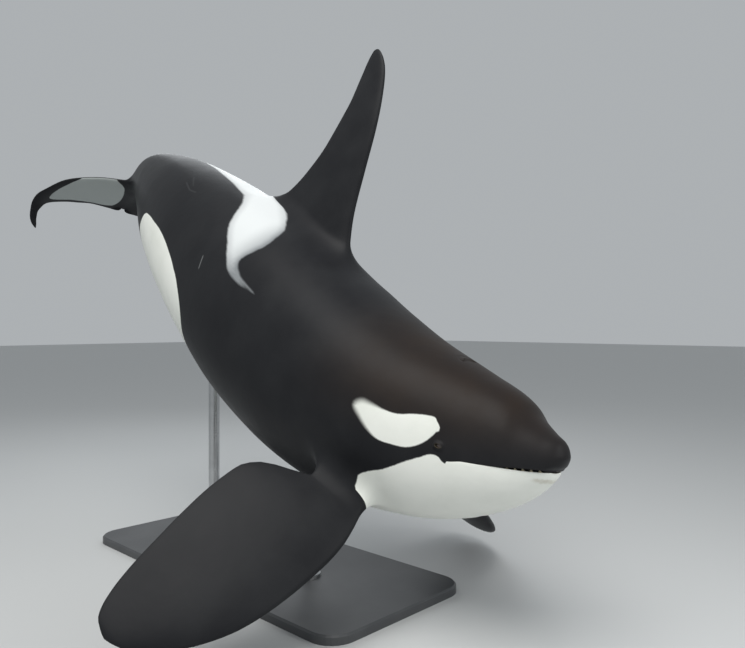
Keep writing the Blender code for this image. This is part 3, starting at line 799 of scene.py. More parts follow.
@dataclass(frozen=True)
class Fin:
    """One fin: its stations, which begin (out, front, rear), and its thickness.

    The place function carries (out, back, half thickness) to world and straight
    places. The gap tells where the hull's grid is open for its root.
    """

    name: str
    stations: tuple[tuple[float, ...], ...]
    thickness: float
    root_out: float
    gap: Gap
    place: Callable[[Array, Array, Array], tuple[Array, Array]]
    length: float
    far_part: Part = Part.FIN
    near_part: Part = Part.FIN
    levels: int = 42
    crowding: float = 1.5
    bridge_levels: int = 12
    flare: float = 1.15
    probe: float = 0.01
    melt_fade: tuple[float, float] = (1.0, 0.55)
    foil_height: float = 1.30
    blunt_share: float = 0.02
    edge: float = 0.0022
    nose_share: float = 0.035
    tail_share: float = 0.020
    tip_round: float = 0.035
    chart_scale: float = 0.86

    def shares(self) -> tuple[Array, Array]:
        """Chord shares and faces of a section's points, round from its front.

        Returns:
            Shares of the chord, and 1 for the far face or -1 for the near one.
        """
        width, length = self.gap.half_width, self.gap.length
        nose = self.nose_share * (np.arange(width) / width) ** 2
        middle = np.linspace(self.nose_share, 1 - self.tail_share, length + 1)
        tail = 1 - self.tail_share * (1 - (np.arange(1, width + 1) / width)) ** 2
        one = np.concatenate([nose, middle, tail])
        faces = np.concatenate([np.ones(len(one)), -np.ones(len(one) - 1)])
        return np.concatenate([one, one[-2::-1]]), faces

    def section(self, out: Array, side: float) -> tuple[Array, Array, Array]:
        """The fin's skin at distances out.

        Args:
            out: Distances out, one for each level.
            side: Which way the far face looks, 1 or -1.

        Returns:
            World places, straight places and flat coordinates, level by level.
        """
        shares, faces = self.shares()
        table = np.array(self.stations)
        front, rear = (SmoothCurve(table[:, 0], table[:, i])(out)[:, None] for i in (1, 2))
        rounding = np.clip((out - (table[-1, 0] - self.tip_round)) / self.tip_round, 0.0, 1.0)
        rounding = np.sqrt(np.clip(1 - rounding**2, 0.0, 1.0))[:, None]
        centre, chord = (front + rear) / 2, (rear - front) * rounding
        back = centre + (shares - 0.5) * chord
        foil = self.foil_height * np.sqrt(shares) * (1 - shares)
        blunt = np.sqrt(np.clip(np.minimum(shares, 1 - shares) / self.blunt_share, 0.0, 1.0))
        half = (self.thickness * chord * foil + self.edge * rounding * blunt) * faces * side
        spread = np.broadcast_to(out[:, None], back.shape)
        world, straight = self.place(spread, back, half)
        return world, straight, np.stack([back, spread * self.length], axis=-1)

    def build(self, hull: Hull, sheets: Sheets, atlas: Atlas) -> None:
        """Add the fin and the flare that joins it to the body.

        Args:
            hull: The body's grid.
            sheets: Where the fin's sheets go.
            atlas: The flat map.
        """
        rows, columns = self.gap.edge()
        layer = hull.upper
        base, body_straight = layer["world"][rows, columns], layer["straight"][rows, columns]
        rise = 1 - (1 - np.arange(self.levels + 1) / self.levels) ** self.crowding
        out = self.root_out + (self.stations[-1][0] - self.root_out) * rise
        side = self.facing(out, base)
        world, straight, chart = self.section(out, side)
        t = (np.arange(self.bridge_levels) / self.bridge_levels)[:, None, None]
        bridge = self.bridge(base, layer["normal"][rows, columns], world[0], side, t)
        path = np.concatenate([bridge, world[:1]])
        left_to_go = np.cumsum(np.linalg.norm(np.diff(path, axis=0), axis=2)[::-1], axis=0)[::-1]
        whole_world = np.concatenate([bridge, world])
        whole_straight = np.concatenate([mix(body_straight, straight[0], t), straight])
        whole_chart = np.concatenate([chart[0] + left_to_go[..., None] * self.fan(), chart])
        girth = np.broadcast_to(layer["girth"][rows, columns], whole_world.shape[:2])
        fade = np.concatenate([t[:, 0], np.ones((len(world), 1))]) * np.ones(len(rows))
        melt = smooth_step(*self.melt_fade, fade) * hull.melt_share(body_straight[:, 0])
        middle = (len(rows) - 1) // 2
        for part, span in ((self.far_part, slice(0, middle + 1)), (self.near_part, slice(middle, None))):
            flat = atlas.island(whole_chart[:, span], self.chart_scale)
            sheets.add(whole_world[:, span], whole_straight[:, span], girth[:, span], flat, part,
                       fade=fade[:, span], melt=melt[:, span])
        LOG.info("%s: %d levels of %d points", self.name, len(whole_world), len(rows))

    def facing(self, out: Array, base: Array) -> float:
        """Which way the far face looks where the root meets the gap without a twist."""
        misses = {side: float(np.sum((self.section(out, side)[0][0] - base) ** 2)) for side in (1.0, -1.0)}
        return min(misses, key=misses.get)

    def bridge(self, base: Array, normal: Array, root: Array, side: float, t: Array) -> Array:
        """Curves that leave the body along its skin and enter the fin along its own.

        Args:
            base: Places on the gap's edge.
            normal: The body's outward directions there.
            root: The fin's first level.
            side: Which way the far face looks.
            t: Shares of the way from body to fin.

        Returns:
            World places, level by level.
        """
        ahead = self.section(np.array([self.root_out, self.root_out + self.probe]), side)[0]
        leave = root - base
        length = np.linalg.norm(leave, axis=1, keepdims=True)
        start = unit(leave - normal * np.sum(leave * normal, axis=1, keepdims=True)) * length * self.flare
        finish = unit(ahead[1] - ahead[0]) * length * self.flare
        path = (1 + 2 * t) * (1 - t) ** 2 * base + t * (1 - t) ** 2 * start
        return path + t * t * (3 - 2 * t) * root + t * t * (t - 1) * finish

    def fan(self) -> Array:
        """Flat directions of the flare's paths, spreading round both ends of the root.

        Returns:
            A direction for each point of the section.
        """
        width, length = self.gap.half_width, self.gap.length
        front = math.pi / 2 * np.arange(width) / width
        side = np.full(length + 1, math.pi / 2)
        rear = math.pi / 2 + math.pi / 2 * np.arange(1, width + 1) / width
        one = np.concatenate([front, side, rear])
        angle = np.concatenate([one, one[-2::-1]])
        return np.stack([-np.cos(angle), -np.sin(angle)], axis=-1)


@dataclass(frozen=True)
class FlipperPose:
    """How a flipper is held, in degrees, and the middle of its gap; side 1 is the left."""

    side: int
    swept_back: float
    dipped: float
    twisted: float
    gap_deg: float


@dataclass(frozen=True)
class FinSet:
    """The sizes of the five fins and the gaps for their roots.

    Stations are (share or distance out, front, rear); those of the flukes go on with
    (rise, sideways reach, turn in degrees).
    """

    dorsal_root_up: float = 0.56
    dorsal_tip_up: float = 2.06
    dorsal_stations: tuple[tuple[float, ...], ...] = (
        (0.00, 2.190, 3.400), (0.12, 2.325, 3.285), (0.30, 2.500, 3.180), (0.50, 2.625, 3.128),
        (0.70, 2.748, 3.122), (0.85, 2.870, 3.148), (0.95, 2.985, 3.165), (1.00, 3.090, 3.160),
    )
    dorsal_thickness: float = 0.140
    dorsal_root: float = 0.185
    dorsal_gap: tuple[float, ...] = (2.12, 3.44, 90.0, 16.0)
    dorsal_tip_round: float = 0.022
    dorsal_levels: int = 48
    shoulder: tuple[float, float, float] = (1.228, 0.462, -0.377)
    flipper_stations: tuple[tuple[float, ...], ...] = (
        (0.00, -0.235, 0.060), (0.10, -0.270, 0.130), (0.19, -0.295, 0.300), (0.28, -0.312, 0.415),
        (0.38, -0.318, 0.462), (0.58, -0.308, 0.472), (0.77, -0.284, 0.460), (0.96, -0.240, 0.438),
        (1.15, -0.155, 0.412), (1.31, -0.040, 0.375), (1.42, 0.080, 0.322), (1.47, 0.170, 0.250),
    )
    flipper_poses: tuple[FlipperPose, ...] = (
        FlipperPose(-1, -5.7, 36.6, 29.0, 218.0), FlipperPose(1, 5.7, 28.6, 0.0, -36.0),
    )
    flipper_thickness: float = 0.112
    flipper_root: float = 0.10
    flipper_gap: tuple[float, float] = (1.00, 1.44)
    flipper_gap_deg: float = 11.0
    flipper_levels: int = 40
    fluke_start: float = 5.86
    fluke_stations: tuple[tuple[float, ...], ...] = (
        (0.000, 0.000, 0.670, 0.000, 0.000, 0.0), (0.060, 0.008, 0.728, 0.000, 0.060, 0.0),
        (0.160, 0.060, 0.735, -0.002, 0.160, 0.0), (0.320, 0.120, 0.730, -0.010, 0.320, 0.0),
        (0.500, 0.190, 0.755, -0.038, 0.500, 0.0), (0.670, 0.275, 0.745, -0.092, 0.670, 4.0),
        (0.810, 0.450, 0.737, -0.158, 0.806, 12.0), (0.880, 0.515, 0.728, -0.225, 0.866, 26.0),
        (0.940, 0.603, 0.718, -0.312, 0.892, 45.0), (0.985, 0.658, 0.742, -0.385, 0.886, 60.0),
        (1.020, 0.700, 0.760, -0.445, 0.866, 70.0), (1.050, 0.738, 0.764, -0.490, 0.838, 75.0),
    )
    fluke_thickness: float = 0.108
    fluke_root: float = 0.15
    fluke_gap_start: float = 5.80
    fluke_gap_deg: float = 56.0
    fluke_tip_round: float = 0.030
    fluke_levels: int = 36

    def make(self, hull: Hull) -> list[Fin]:
        """The five fins with their gaps in the hull.

        Args:
            hull: The body's grid.

        Returns:
            Dorsal fin, flippers and flukes.
        """
        fins = [self.dorsal(hull)]
        fins += [self.flipper(hull, pose) for pose in self.flipper_poses]
        fins += [self.fluke(hull, side) for side in (-1, 1)]
        return fins

    def gap(self, hull: Hull, first: float, last: float, degrees: float, half_degrees: float) -> Gap:
        """A gap from one distance to another, to both sides of an angle."""
        column = hull.column_at(degrees)
        half = int(round(half_degrees / 360.0 * hull.columns))
        return Gap(hull.row_at(first), hull.row_at(last), column - half, column + half)

    def dorsal(self, hull: Hull) -> Fin:
        """The tall upright fin of a grown male.

        Args:
            hull: The body's grid.

        Returns:
            The fin.
        """

        def place(out: Array, back: Array, half: Array) -> tuple[Array, Array]:
            """World and straight places of points of the fin."""
            up = mix(self.dorsal_root_up, self.dorsal_tip_up, out)
            straight = np.stack([back, half, up], axis=-1)
            return hull.spine.lay(straight), straight

        return Fin("dorsal fin", self.dorsal_stations, self.dorsal_thickness, self.dorsal_root,
                   self.gap(hull, *self.dorsal_gap), place, self.dorsal_tip_up - self.dorsal_root_up,
                   levels=self.dorsal_levels, tip_round=self.dorsal_tip_round)

    def flipper(self, hull: Hull, pose: FlipperPose) -> Fin:
        """A broad paddle, held stiffly at its shoulder.

        Args:
            hull: The body's grid.
            pose: How it is held.

        Returns:
            The fin.
        """
        along, out_from, up_from = self.shoulder
        point, axes = hull.spine.frame_at(np.array(along))
        point, axes = Vector(point), [Vector(axis) for axis in axes]
        tail, left, up = axes
        outward = left * pose.side
        start = point + outward * out_from + up * up_from
        swept, dipped = math.radians(pose.swept_back), math.radians(pose.dipped)
        reach = outward * (math.cos(dipped) * math.cos(swept))
        reach = (reach + tail * (math.cos(dipped) * math.sin(swept)) - up * math.sin(dipped)).normalized()
        chord = (tail - reach * tail.dot(reach)).normalized()
        chord = Matrix.Rotation(math.radians(pose.twisted) * pose.side, 3, reach) @ chord
        across = reach.cross(chord)
        frame_rows = np.array([reach, chord, across])
        straight_rows = frame_rows @ np.array([tail, left, up]).T

        def place(out: Array, back: Array, half: Array) -> tuple[Array, Array]:
            """World and straight places of points of the fin."""
            local = np.stack([out, back, half], axis=-1)
            straight = local @ straight_rows + np.array([along, pose.side * out_from, up_from])
            return local @ frame_rows + np.array(start), straight

        gap = self.gap(hull, *self.flipper_gap, pose.gap_deg, self.flipper_gap_deg)
        label = "left flipper" if pose.side > 0 else "right flipper"
        return Fin(label, self.flipper_stations, self.flipper_thickness, self.flipper_root, gap, place, 1.0,
                   levels=self.flipper_levels)

    def fluke(self, hull: Hull, side: int) -> Fin:
        """One half of the tail flukes, its tip curled down and in.

        Args:
            hull: The body's grid.
            side: 1 for left, -1 for right.

        Returns:
            The fin.
        """
        table = np.array(self.fluke_stations)
        front_at, rear_at, rise_at, reach_at, turn_at = (
            SmoothCurve(table[:, 0], table[:, i]) for i in range(1, 6))

        def place(out: Array, back: Array, half: Array) -> tuple[Array, Array]:
            """World and straight places of points of the fin."""
            middle = (front_at(out) + rear_at(out)) / 2
            turn = np.radians(turn_at(out))
            along = self.fluke_start + middle + (back - middle) * np.cos(turn)
            left = side * (reach_at(out) - (back - middle) * np.sin(turn))
            straight = np.stack([along, left, rise_at(out) + half], axis=-1)
            return hull.spine.lay(straight), straight

        middle_deg = 0.0 if side > 0 else 180.0
        gap = self.gap(hull, self.fluke_gap_start, hull.end, middle_deg, self.fluke_gap_deg)
        parts = (Part.FLUKE_TOP, Part.FLUKE_UNDER) if side > 0 else (Part.FLUKE_UNDER, Part.FLUKE_TOP)
        label = "left fluke" if side > 0 else "right fluke"
        return Fin(label, self.fluke_stations, self.fluke_thickness, self.fluke_root, gap, place, 1.0,
                   *parts, levels=self.fluke_levels, tip_round=self.fluke_tip_round)


@dataclass(frozen=True)
class Opening:
    """An opening of the skin, worked in rings from a gap of the grid to its rim."""

    along: float
    degrees: float
    rows_each_way: int
    columns_each_way: int
    ring_count: int
    crowding: float = 1.7

    def gap(self, hull: Hull) -> Gap:
        """The gap in the hull that the rings fill."""
        row, column = hull.row_at(self.along), hull.column_at(self.degrees)
        return Gap(row - self.rows_each_way, row + self.rows_each_way,
                   column - self.columns_each_way, column + self.columns_each_way)

    def steps(self, hull: Hull) -> tuple[float, float]:
        """The lengths of a row's and a column's step at the middle."""
        row, column = hull.row_at(self.along), hull.column_at(self.degrees)
        world = hull.upper["world"]
        return (float(np.linalg.norm(world[row + 1, column] - world[row, column])),
                float(np.linalg.norm(world[row, column + 1] - world[row, column])))

    def rings(self, hull: Hull, rim: Callable[[Array], Array],
              centre: tuple[float, float]) -> dict[str, Array]:
        """Places on the hull from the gap's edge to the rim.

        Args:
            hull: The body's grid.
            rim: Gives the rim's (back, over) places in metres at angles.
            centre: Row and column of the middle, with fractions.

        Returns:
            World places, normals, straight places, girths, flat coordinates, the
            angle and the distance from the rim, ring by ring.
        """
        rows, columns = self.gap(hull).edge()
        row_step, column_step = self.steps(hull)
        back, over = (rows - centre[0]) * row_step, (columns - centre[1]) * column_step
        angle = np.arctan2(over / np.abs(over).max(), back / np.abs(back).max())
        edge = np.stack([back, over], axis=-1)
        share = 1 - (1 - np.arange(self.ring_count + 1) / self.ring_count) ** self.crowding
        local = mix(edge, rim(angle), share[:, None, None])
        row = centre[0] + local[..., 0] / row_step
        column = centre[1] + local[..., 1] / column_step
        names = ("world", "normal", "straight", "girth", "chart")
        values = {name: hull.read(name, row, column) for name in names}
        values["angle"] = np.broadcast_to(angle, row.shape)
        values["from_rim"] = np.linalg.norm(local - local[-1:], axis=-1)
        values["share"] = np.broadcast_to(share[:, None], row.shape)
        return values

    def add(self, sheets: Sheets, atlas: Atlas, values: dict[str, Array], world: Array,
            inner: list[Array], aim: Callable[[Array], Array], shrink: float, lining: Array) -> None:
        """Add the rings, and the rings that go on inside the rim, as one sheet.

        Args:
            sheets: Where the sheet goes.
            atlas: The flat map.
            values: What rings() gave.
            world: The rings' places, with their relief.
            inner: Places of the rings inside the rim.
            aim: Where the inner rings shrink to on the flat map.
            shrink: How far they shrink.
            lining: How far each place is inside.
        """
        extra = len(inner)
        chart = atlas.body(values["chart"])
        middle = aim(chart[-1])
        left = (1 - np.arange(1, extra + 1) / extra * shrink)[:, None, None]
        chart = np.concatenate([chart, middle + (chart[-1] - middle) * left])
        straight, girth = (np.concatenate([values[name], np.repeat(values[name][-1:], extra, axis=0)])
                           for name in ("straight", "girth"))
        sheets.add(np.concatenate([world, np.array(inner)]), straight, girth, chart, lining=lining)


@dataclass(frozen=True)
class Eye:
    """An eyeball, its lids and the socket behind it."""

    along: float = 0.612
    up: float = 0.018
    radius: float = 0.030
    sink: float = 0.0215
    half_length: float = 0.0215
    half_height: float = 0.0115
    roundness: float = 0.20
    tilt: float = 0.06
    gap_deg: float = 1.0
    gap_cells: tuple[int, int, int] = (5, 4, 22)
    near_columns: int = 6
    lid_rise: float = 0.0100
    corner_rise: float = 0.0045
    upper_begins: tuple[float, float] = (-0.3, 0.3)
    lid_width: float = 0.0125
    swell: tuple[float, float] = (0.0045, 0.019)
    fold_at: tuple[float, float] = (0.0125, 0.0155)
    fold_depth: tuple[float, float] = (0.0012, 0.0024)
    fold_width: float = 0.0030
    second_fold: tuple[float, float, float] = (0.0010, 0.024, 0.0035)
    second_fold_level: tuple[float, float] = (-0.2, 0.6)
    relief_grows: float = 0.45
    clearance: float = 0.0008
    roll_steps: tuple[float, ...] = (0.12, 0.35, 0.65, 1.0)
    socket_steps: int = 7
    ball_segments: tuple[int, int] = (48, 32)
    rim_dark: tuple[float, float] = (0.004, 0.7)
    socket_dark: tuple[float, float] = (0.8, 1.0)
    chart_shrink: float = 0.97

    def centre(self, hull: Hull, side: int) -> tuple[Array, Array]:
        """The middle of the ball and the outward direction of its socket."""
        angle = hull.torso.angle_at(np.array(self.along), np.array(self.up))
        out = hull.torso.place(self.along, angle)[1] - self.sink
        point = hull.spine.lay(np.array([self.along, side * out, self.up]))
        ahead = hull.spine.lay(np.array([self.along, side * (out + 1.0), self.up]))
        return point, unit(ahead - point)

    def rim(self, angle: Array) -> Array:
        """The edge of the lids, a long almond with its front corner lower."""
        back = self.half_length * np.cos(angle)
        over = self.half_height * np.sin(angle)
        over = over * (1 - self.roundness + self.roundness * np.abs(np.sin(angle)))
        return np.stack([back, over + self.tilt * back], axis=-1)

    def lid_relief(self, values: dict[str, Array], upper: Array) -> Array:
        """Height of the lids, their folds and the swell round them.

        Args:
            values: What Opening.rings() gave.
            upper: How far each place belongs to the upper lid.

        Returns:
            Heights in metres.
        """
        away = values["from_rim"]
        level = np.abs(np.sin(values["angle"]))
        lid = mix(self.corner_rise, self.lid_rise, level) * bell(away, 0.0, self.lid_width)
        swell = self.swell[0] * bell(away, 0.0, self.swell[1])
        fold = -mix(*self.fold_depth, upper) * bell(away, mix(*self.fold_at, upper), self.fold_width)
        depth, place, width = self.second_fold
        second = -depth * bell(away, place, width) * smooth_step(*self.second_fold_level, level)
        return (lid + swell + fold + second) * smooth_step(0.0, self.relief_grows, values["share"])

    def add_skin(self, hull: Hull, sheets: Sheets, atlas: Atlas, side: int) -> Gap:
        """Add the lids and the socket of one eye.

        Args:
            hull: The body's grid.
            sheets: Where the rings go.
            atlas: The flat map.
            side: 1 for left, -1 for right.

        Returns:
            The gap that the rings fill.
        """
        gap_deg = self.gap_deg if side > 0 else 180.0 - self.gap_deg
        opening = Opening(self.along, gap_deg, *self.gap_cells)
        row = float(np.interp(self.along, hull.along, np.arange(len(hull.along))))
        near = hull.column_at(0.0 if side > 0 else 180.0)
        columns = near + np.arange(-self.near_columns, self.near_columns + 1)
        heights = hull.upper["straight"][int(row), columns, 2]
        order = np.argsort(heights)
        column = float(np.interp(self.up, heights[order], columns[order]))
        values = opening.rings(hull, lambda angle: self.rim(angle * side) * np.array([1.0, side]),
                               (row, column))
        upper = smooth_step(*self.upper_begins, np.sin(values["angle"]) * side)
        world = values["world"] + values["normal"] * self.lid_relief(values, upper)[..., None]
        centre, outward = self.centre(hull, side)
        lip = world[-1] - centre
        lip_length = np.linalg.norm(lip, axis=-1, keepdims=True)
        direction = lip / lip_length
        seat = self.radius + self.clearance
        inner = [centre + direction * mix(lip_length, seat, w) for w in self.roll_steps]
        for step in range(1, self.socket_steps + 1):
            turned = unit(mix(direction, -outward, step / self.socket_steps) + 1e-6 * outward)
            inner.append(centre + turned * seat)
        reach, dark = self.rim_dark
        socket = np.linspace(*self.socket_dark, len(inner))[:, None] * np.ones(world.shape[1])
        lining = np.concatenate([smooth_step(reach, 0.0, values["from_rim"]) * dark, socket])
        opening.add(sheets, atlas, values, world, inner, lambda rim: rim.mean(axis=0), self.chart_shrink,
                    lining)
        return opening.gap(hull)

    def add_ball(self, hull: Hull, side: int) -> bpy.types.Object:
        """Make one eyeball in the place of its solid.

        Args:
            hull: The body's grid.
            side: 1 for left, -1 for right.

        Returns:
            The new object.
        """
        label = "left" if side > 0 else "right"
        centre, outward = self.centre(hull, side)
        work = bmesh.new()
        round_it, over_it = self.ball_segments
        bmesh.ops.create_uvsphere(work, u_segments=round_it, v_segments=over_it, radius=self.radius)
        turn = Vector((0, 0, 1)).rotation_difference(Vector(outward)).to_matrix().to_4x4()
        mesh = bpy.data.meshes.new("eyeball_" + label)
        gaze = work.verts.layers.float.new("from_pupil")
        for vert in work.verts:
            vert[gaze] = math.acos(max(-1.0, min(1.0, vert.co.z / self.radius)))
        bmesh.ops.transform(work, matrix=Matrix.Translation(Vector(centre)) @ turn, verts=work.verts)
        for face in work.faces:
            face.smooth = True
        work.to_mesh(mesh)
        work.free()
        ball = bpy.data.objects.new("eyeball_" + label, mesh)
        bpy.context.scene.collection.objects.link(ball)
        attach(ball, "root")
        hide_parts("eye_" + label)
        return ball


@dataclass(frozen=True)
class Blowhole:
    """The closed crescent on top of the head, its ends pointing forward."""

    along: float = 0.800
    degrees: float = 89.0
    half_width: float = 0.055
    bow: float = 0.026
    bow_middle: float = 0.55
    slit: float = 0.0028
    slit_ends: float = 0.0006
    depth: float = 0.030
    narrowing: float = 0.55
    roll_steps: tuple[float, ...] = (0.06, 0.18, 0.40, 0.70, 1.0)
    gap_cells: tuple[int, int, int] = (10, 7, 20)
    lip_rise: tuple[float, float] = (0.0022, 0.0042)
    lip_width: float = 0.014
    front_begins: tuple[float, float] = (0.2, -0.4)
    moat: tuple[float, float, float] = (0.0022, 0.030, 0.010)
    relief_grows: float = 0.22
    chart_shrink: float = 0.9

    def rim(self, angle: Array) -> Array:
        """The lips of the slit."""
        over = self.half_width * np.sin(angle)
        aside = (over / self.half_width) ** 2
        open_here = self.slit * (1 - aside) + self.slit_ends
        back = self.bow * (self.bow_middle - aside) + open_here * np.sign(np.cos(angle))
        return np.stack([back, over], axis=-1)

    def add_skin(self, hull: Hull, sheets: Sheets, atlas: Atlas) -> Gap:
        """Add the lips of the blowhole and its closed passage.

        Args:
            hull: The body's grid.
            sheets: Where the rings go.
            atlas: The flat map.

        Returns:
            The gap that the rings fill.
        """
        opening = Opening(self.along, self.degrees, *self.gap_cells)
        centre = (float(hull.row_at(self.along)), float(hull.column_at(self.degrees)))
        values = opening.rings(hull, self.rim, centre)
        away = values["from_rim"]
        front = smooth_step(*self.front_begins, np.cos(values["angle"]))
        lip = mix(*self.lip_rise, front) * bell(away, 0.0, self.lip_width)
        depth, place, width = self.moat
        grown = smooth_step(0.0, self.relief_grows, values["share"])
        relief = (lip - depth * bell(away, place, width)) * grown
        world = values["world"] + values["normal"] * relief[..., None]
        rim, normal = world[-1], values["normal"][-1]
        middle_line = (rim + rim[::-1]) / 2
        inner = [mix(rim, middle_line, self.narrowing * w) - normal * self.depth * w for w in self.roll_steps]
        inner.append(np.broadcast_to(inner[-1].mean(axis=0), inner[-1].shape))
        lining = np.concatenate([np.zeros(away.shape), np.ones((len(inner), away.shape[1]))])
        opening.add(sheets, atlas, values, world, inner, lambda rim: (rim + rim[::-1]) / 2,
                    self.chart_shrink, lining)
        return opening.gap(hull)


@dataclass(frozen=True)
class MouthLining:
    """The rolled lips, the palate and the floor of the mouth."""

    lip_radius: float = 0.0042
    lip_shuts: float = 0.05
    lip_begins: tuple[float, float] = (-0.002, 0.03)
    lip_turns: int = 5
    most_of_span: float = 0.2
    lip_flat: tuple[float, float] = (0.034, 0.084)
    palate_rise: float = 0.034
    floor_drop: float = 0.020
    closes_over: float = 0.16
    full_span: float = 0.20
    across: int = 8
    crowding: float = 1.5
    dark_edge: tuple[float, float] = (0.001, 0.006)
    scale: float = 0.9

    def lip_roll(self, along: Array, corner: float) -> Array:
        """The radius of the lip's round edge, nothing at the corner of the mouth."""
        shut = smooth_step(corner, corner - self.lip_shuts, along)
        return self.lip_radius * shut * smooth_step(*self.lip_begins, along)

    def add(self, hull: Hull, sheets: Sheets, atlas: Atlas, jaw: bool) -> None:
        """Add the inner sheet of one jaw.

        Args:
            hull: The body's grid.
            sheets: Where the sheet goes.
            atlas: The flat map.
            jaw: Whether it is the lower one.
        """
        layer = hull.lower if jaw else hull.upper
        last = hull.corner_row + 1
        left, right = hull.column_at(hull.lip_deg), hull.column_at(180.0 - hull.lip_deg)
        world_left, world_right = layer["world"][:last, left], layer["world"][:last, right]
        along = hull.along[:last]
        span = np.linalg.norm(world_right - world_left, axis=1)
        inward = unit(world_right - world_left)
        up = hull.spine.frame_at(along)[1][:, 2]
        toward = up if jaw else -up
        roll = np.minimum(self.lip_roll(along, hull.mouth.corner), span * self.most_of_span)
        turns = np.linspace(0.0, math.pi / 2, self.lip_turns)
        offsets = [roll * (1 - math.cos(turn)) for turn in turns]
        lifts = [roll * math.sin(turn) for turn in turns]
        closing = smooth_step(hull.mouth.corner, hull.mouth.corner - self.closes_over, along)
        room = np.minimum(span / self.full_span, 1.0) * closing
        deep = self.floor_drop if jaw else self.palate_rise
        for i in range(1, self.across + 1):
            inside = mix(roll, span / 2, (i / self.across) ** self.crowding)
            offsets.append(inside)
            lifts.append(roll - deep * room * smooth_step(*self.lip_flat, inside))
        near = [world_left + inward * o[:, None] + toward * h[:, None] for o, h in zip(offsets, lifts)]
        far = [world_right - inward * o[:, None] + toward * h[:, None] for o, h in zip(offsets, lifts)]
        world = np.stack(near + far[-2::-1], axis=1)
        where = np.stack(offsets + [span - o for o in offsets[-2::-1]], axis=1)
        chart = np.stack([np.broadcast_to(along[:, None], where.shape), where - span[:, None] / 2], axis=-1)
        straight = np.stack([chart[..., 0], -chart[..., 1], np.zeros(where.shape)], axis=-1)
        edge = np.minimum(where, span[:, None] - where)
        lining = smooth_step(*self.dark_edge, edge)
        lining[:, 0] = lining[:, -1] = 0.0
        girth = np.broadcast_to(layer["girth"][:last, left][:, None], where.shape)
        sheets.add(world, straight, girth, atlas.island(chart, self.scale),
                   Part.JAW if jaw else Part.BACK, lining=lining)


@dataclass(frozen=True)
class Outline:
    """A closed outline on the flattened skin, through (along, girth) points."""

    points: tuple[tuple[float, float], ...]
    steps: int = 8

    def curve(self) -> Array:
        """The outline as a smooth closed line of short pieces.

        Returns:
            Its (along, girth) points.
        """
        base = np.array(self.points)
        t = (np.arange(self.steps) / self.steps)[:, None]
        lines = []
        for i in range(len(base)):
            a, b, c, d = (base[(i + k) % len(base)] for k in (-1, 0, 1, 2))
            lines.append(0.5 * (2 * b + (c - a) * t + (2 * a - 5 * b + 4 * c - d) * t**2
                                + (3 * b - a - 3 * c + d) * t**3))
        return np.concatenate(lines)

    def depth(self, along: Array, girth: Array, half_girth: Callable[[Array], Array]) -> Array:
        """How far inside the outline places are, in metres, negative outside it.

        Args:
            along: Distances from the snout.
            girth: Shares of the way from back to belly.
            half_girth: Half the body's girth at a distance.

        Returns:
            Signed distances.
        """
        line = self.curve()
        start = np.stack([line[:, 0], line[:, 1] * half_girth(line[:, 0])], axis=-1)
        places = np.stack([along, girth * half_girth(along)], axis=-1)
        best = np.full(len(places), 1e9)
        inside = np.zeros(len(places), bool)
        for a, b in zip(start, np.roll(start, -1, axis=0)):
            edge, leave = b - a, places - a
            t = np.clip(leave @ edge / max(float(edge @ edge), 1e-12), 0.0, 1.0)
            best = np.minimum(best, np.hypot(*(leave - t[:, None] * edge).T))
            crosses = (a[1] > places[:, 1]) != (b[1] > places[:, 1])
            rise = edge[1] if abs(edge[1]) > 1e-12 else 1e-12
            inside ^= crosses & (places[:, 0] < edge[0] * (places[:, 1] - a[1]) / rise + a[0])
        return np.where(inside, best, -best)


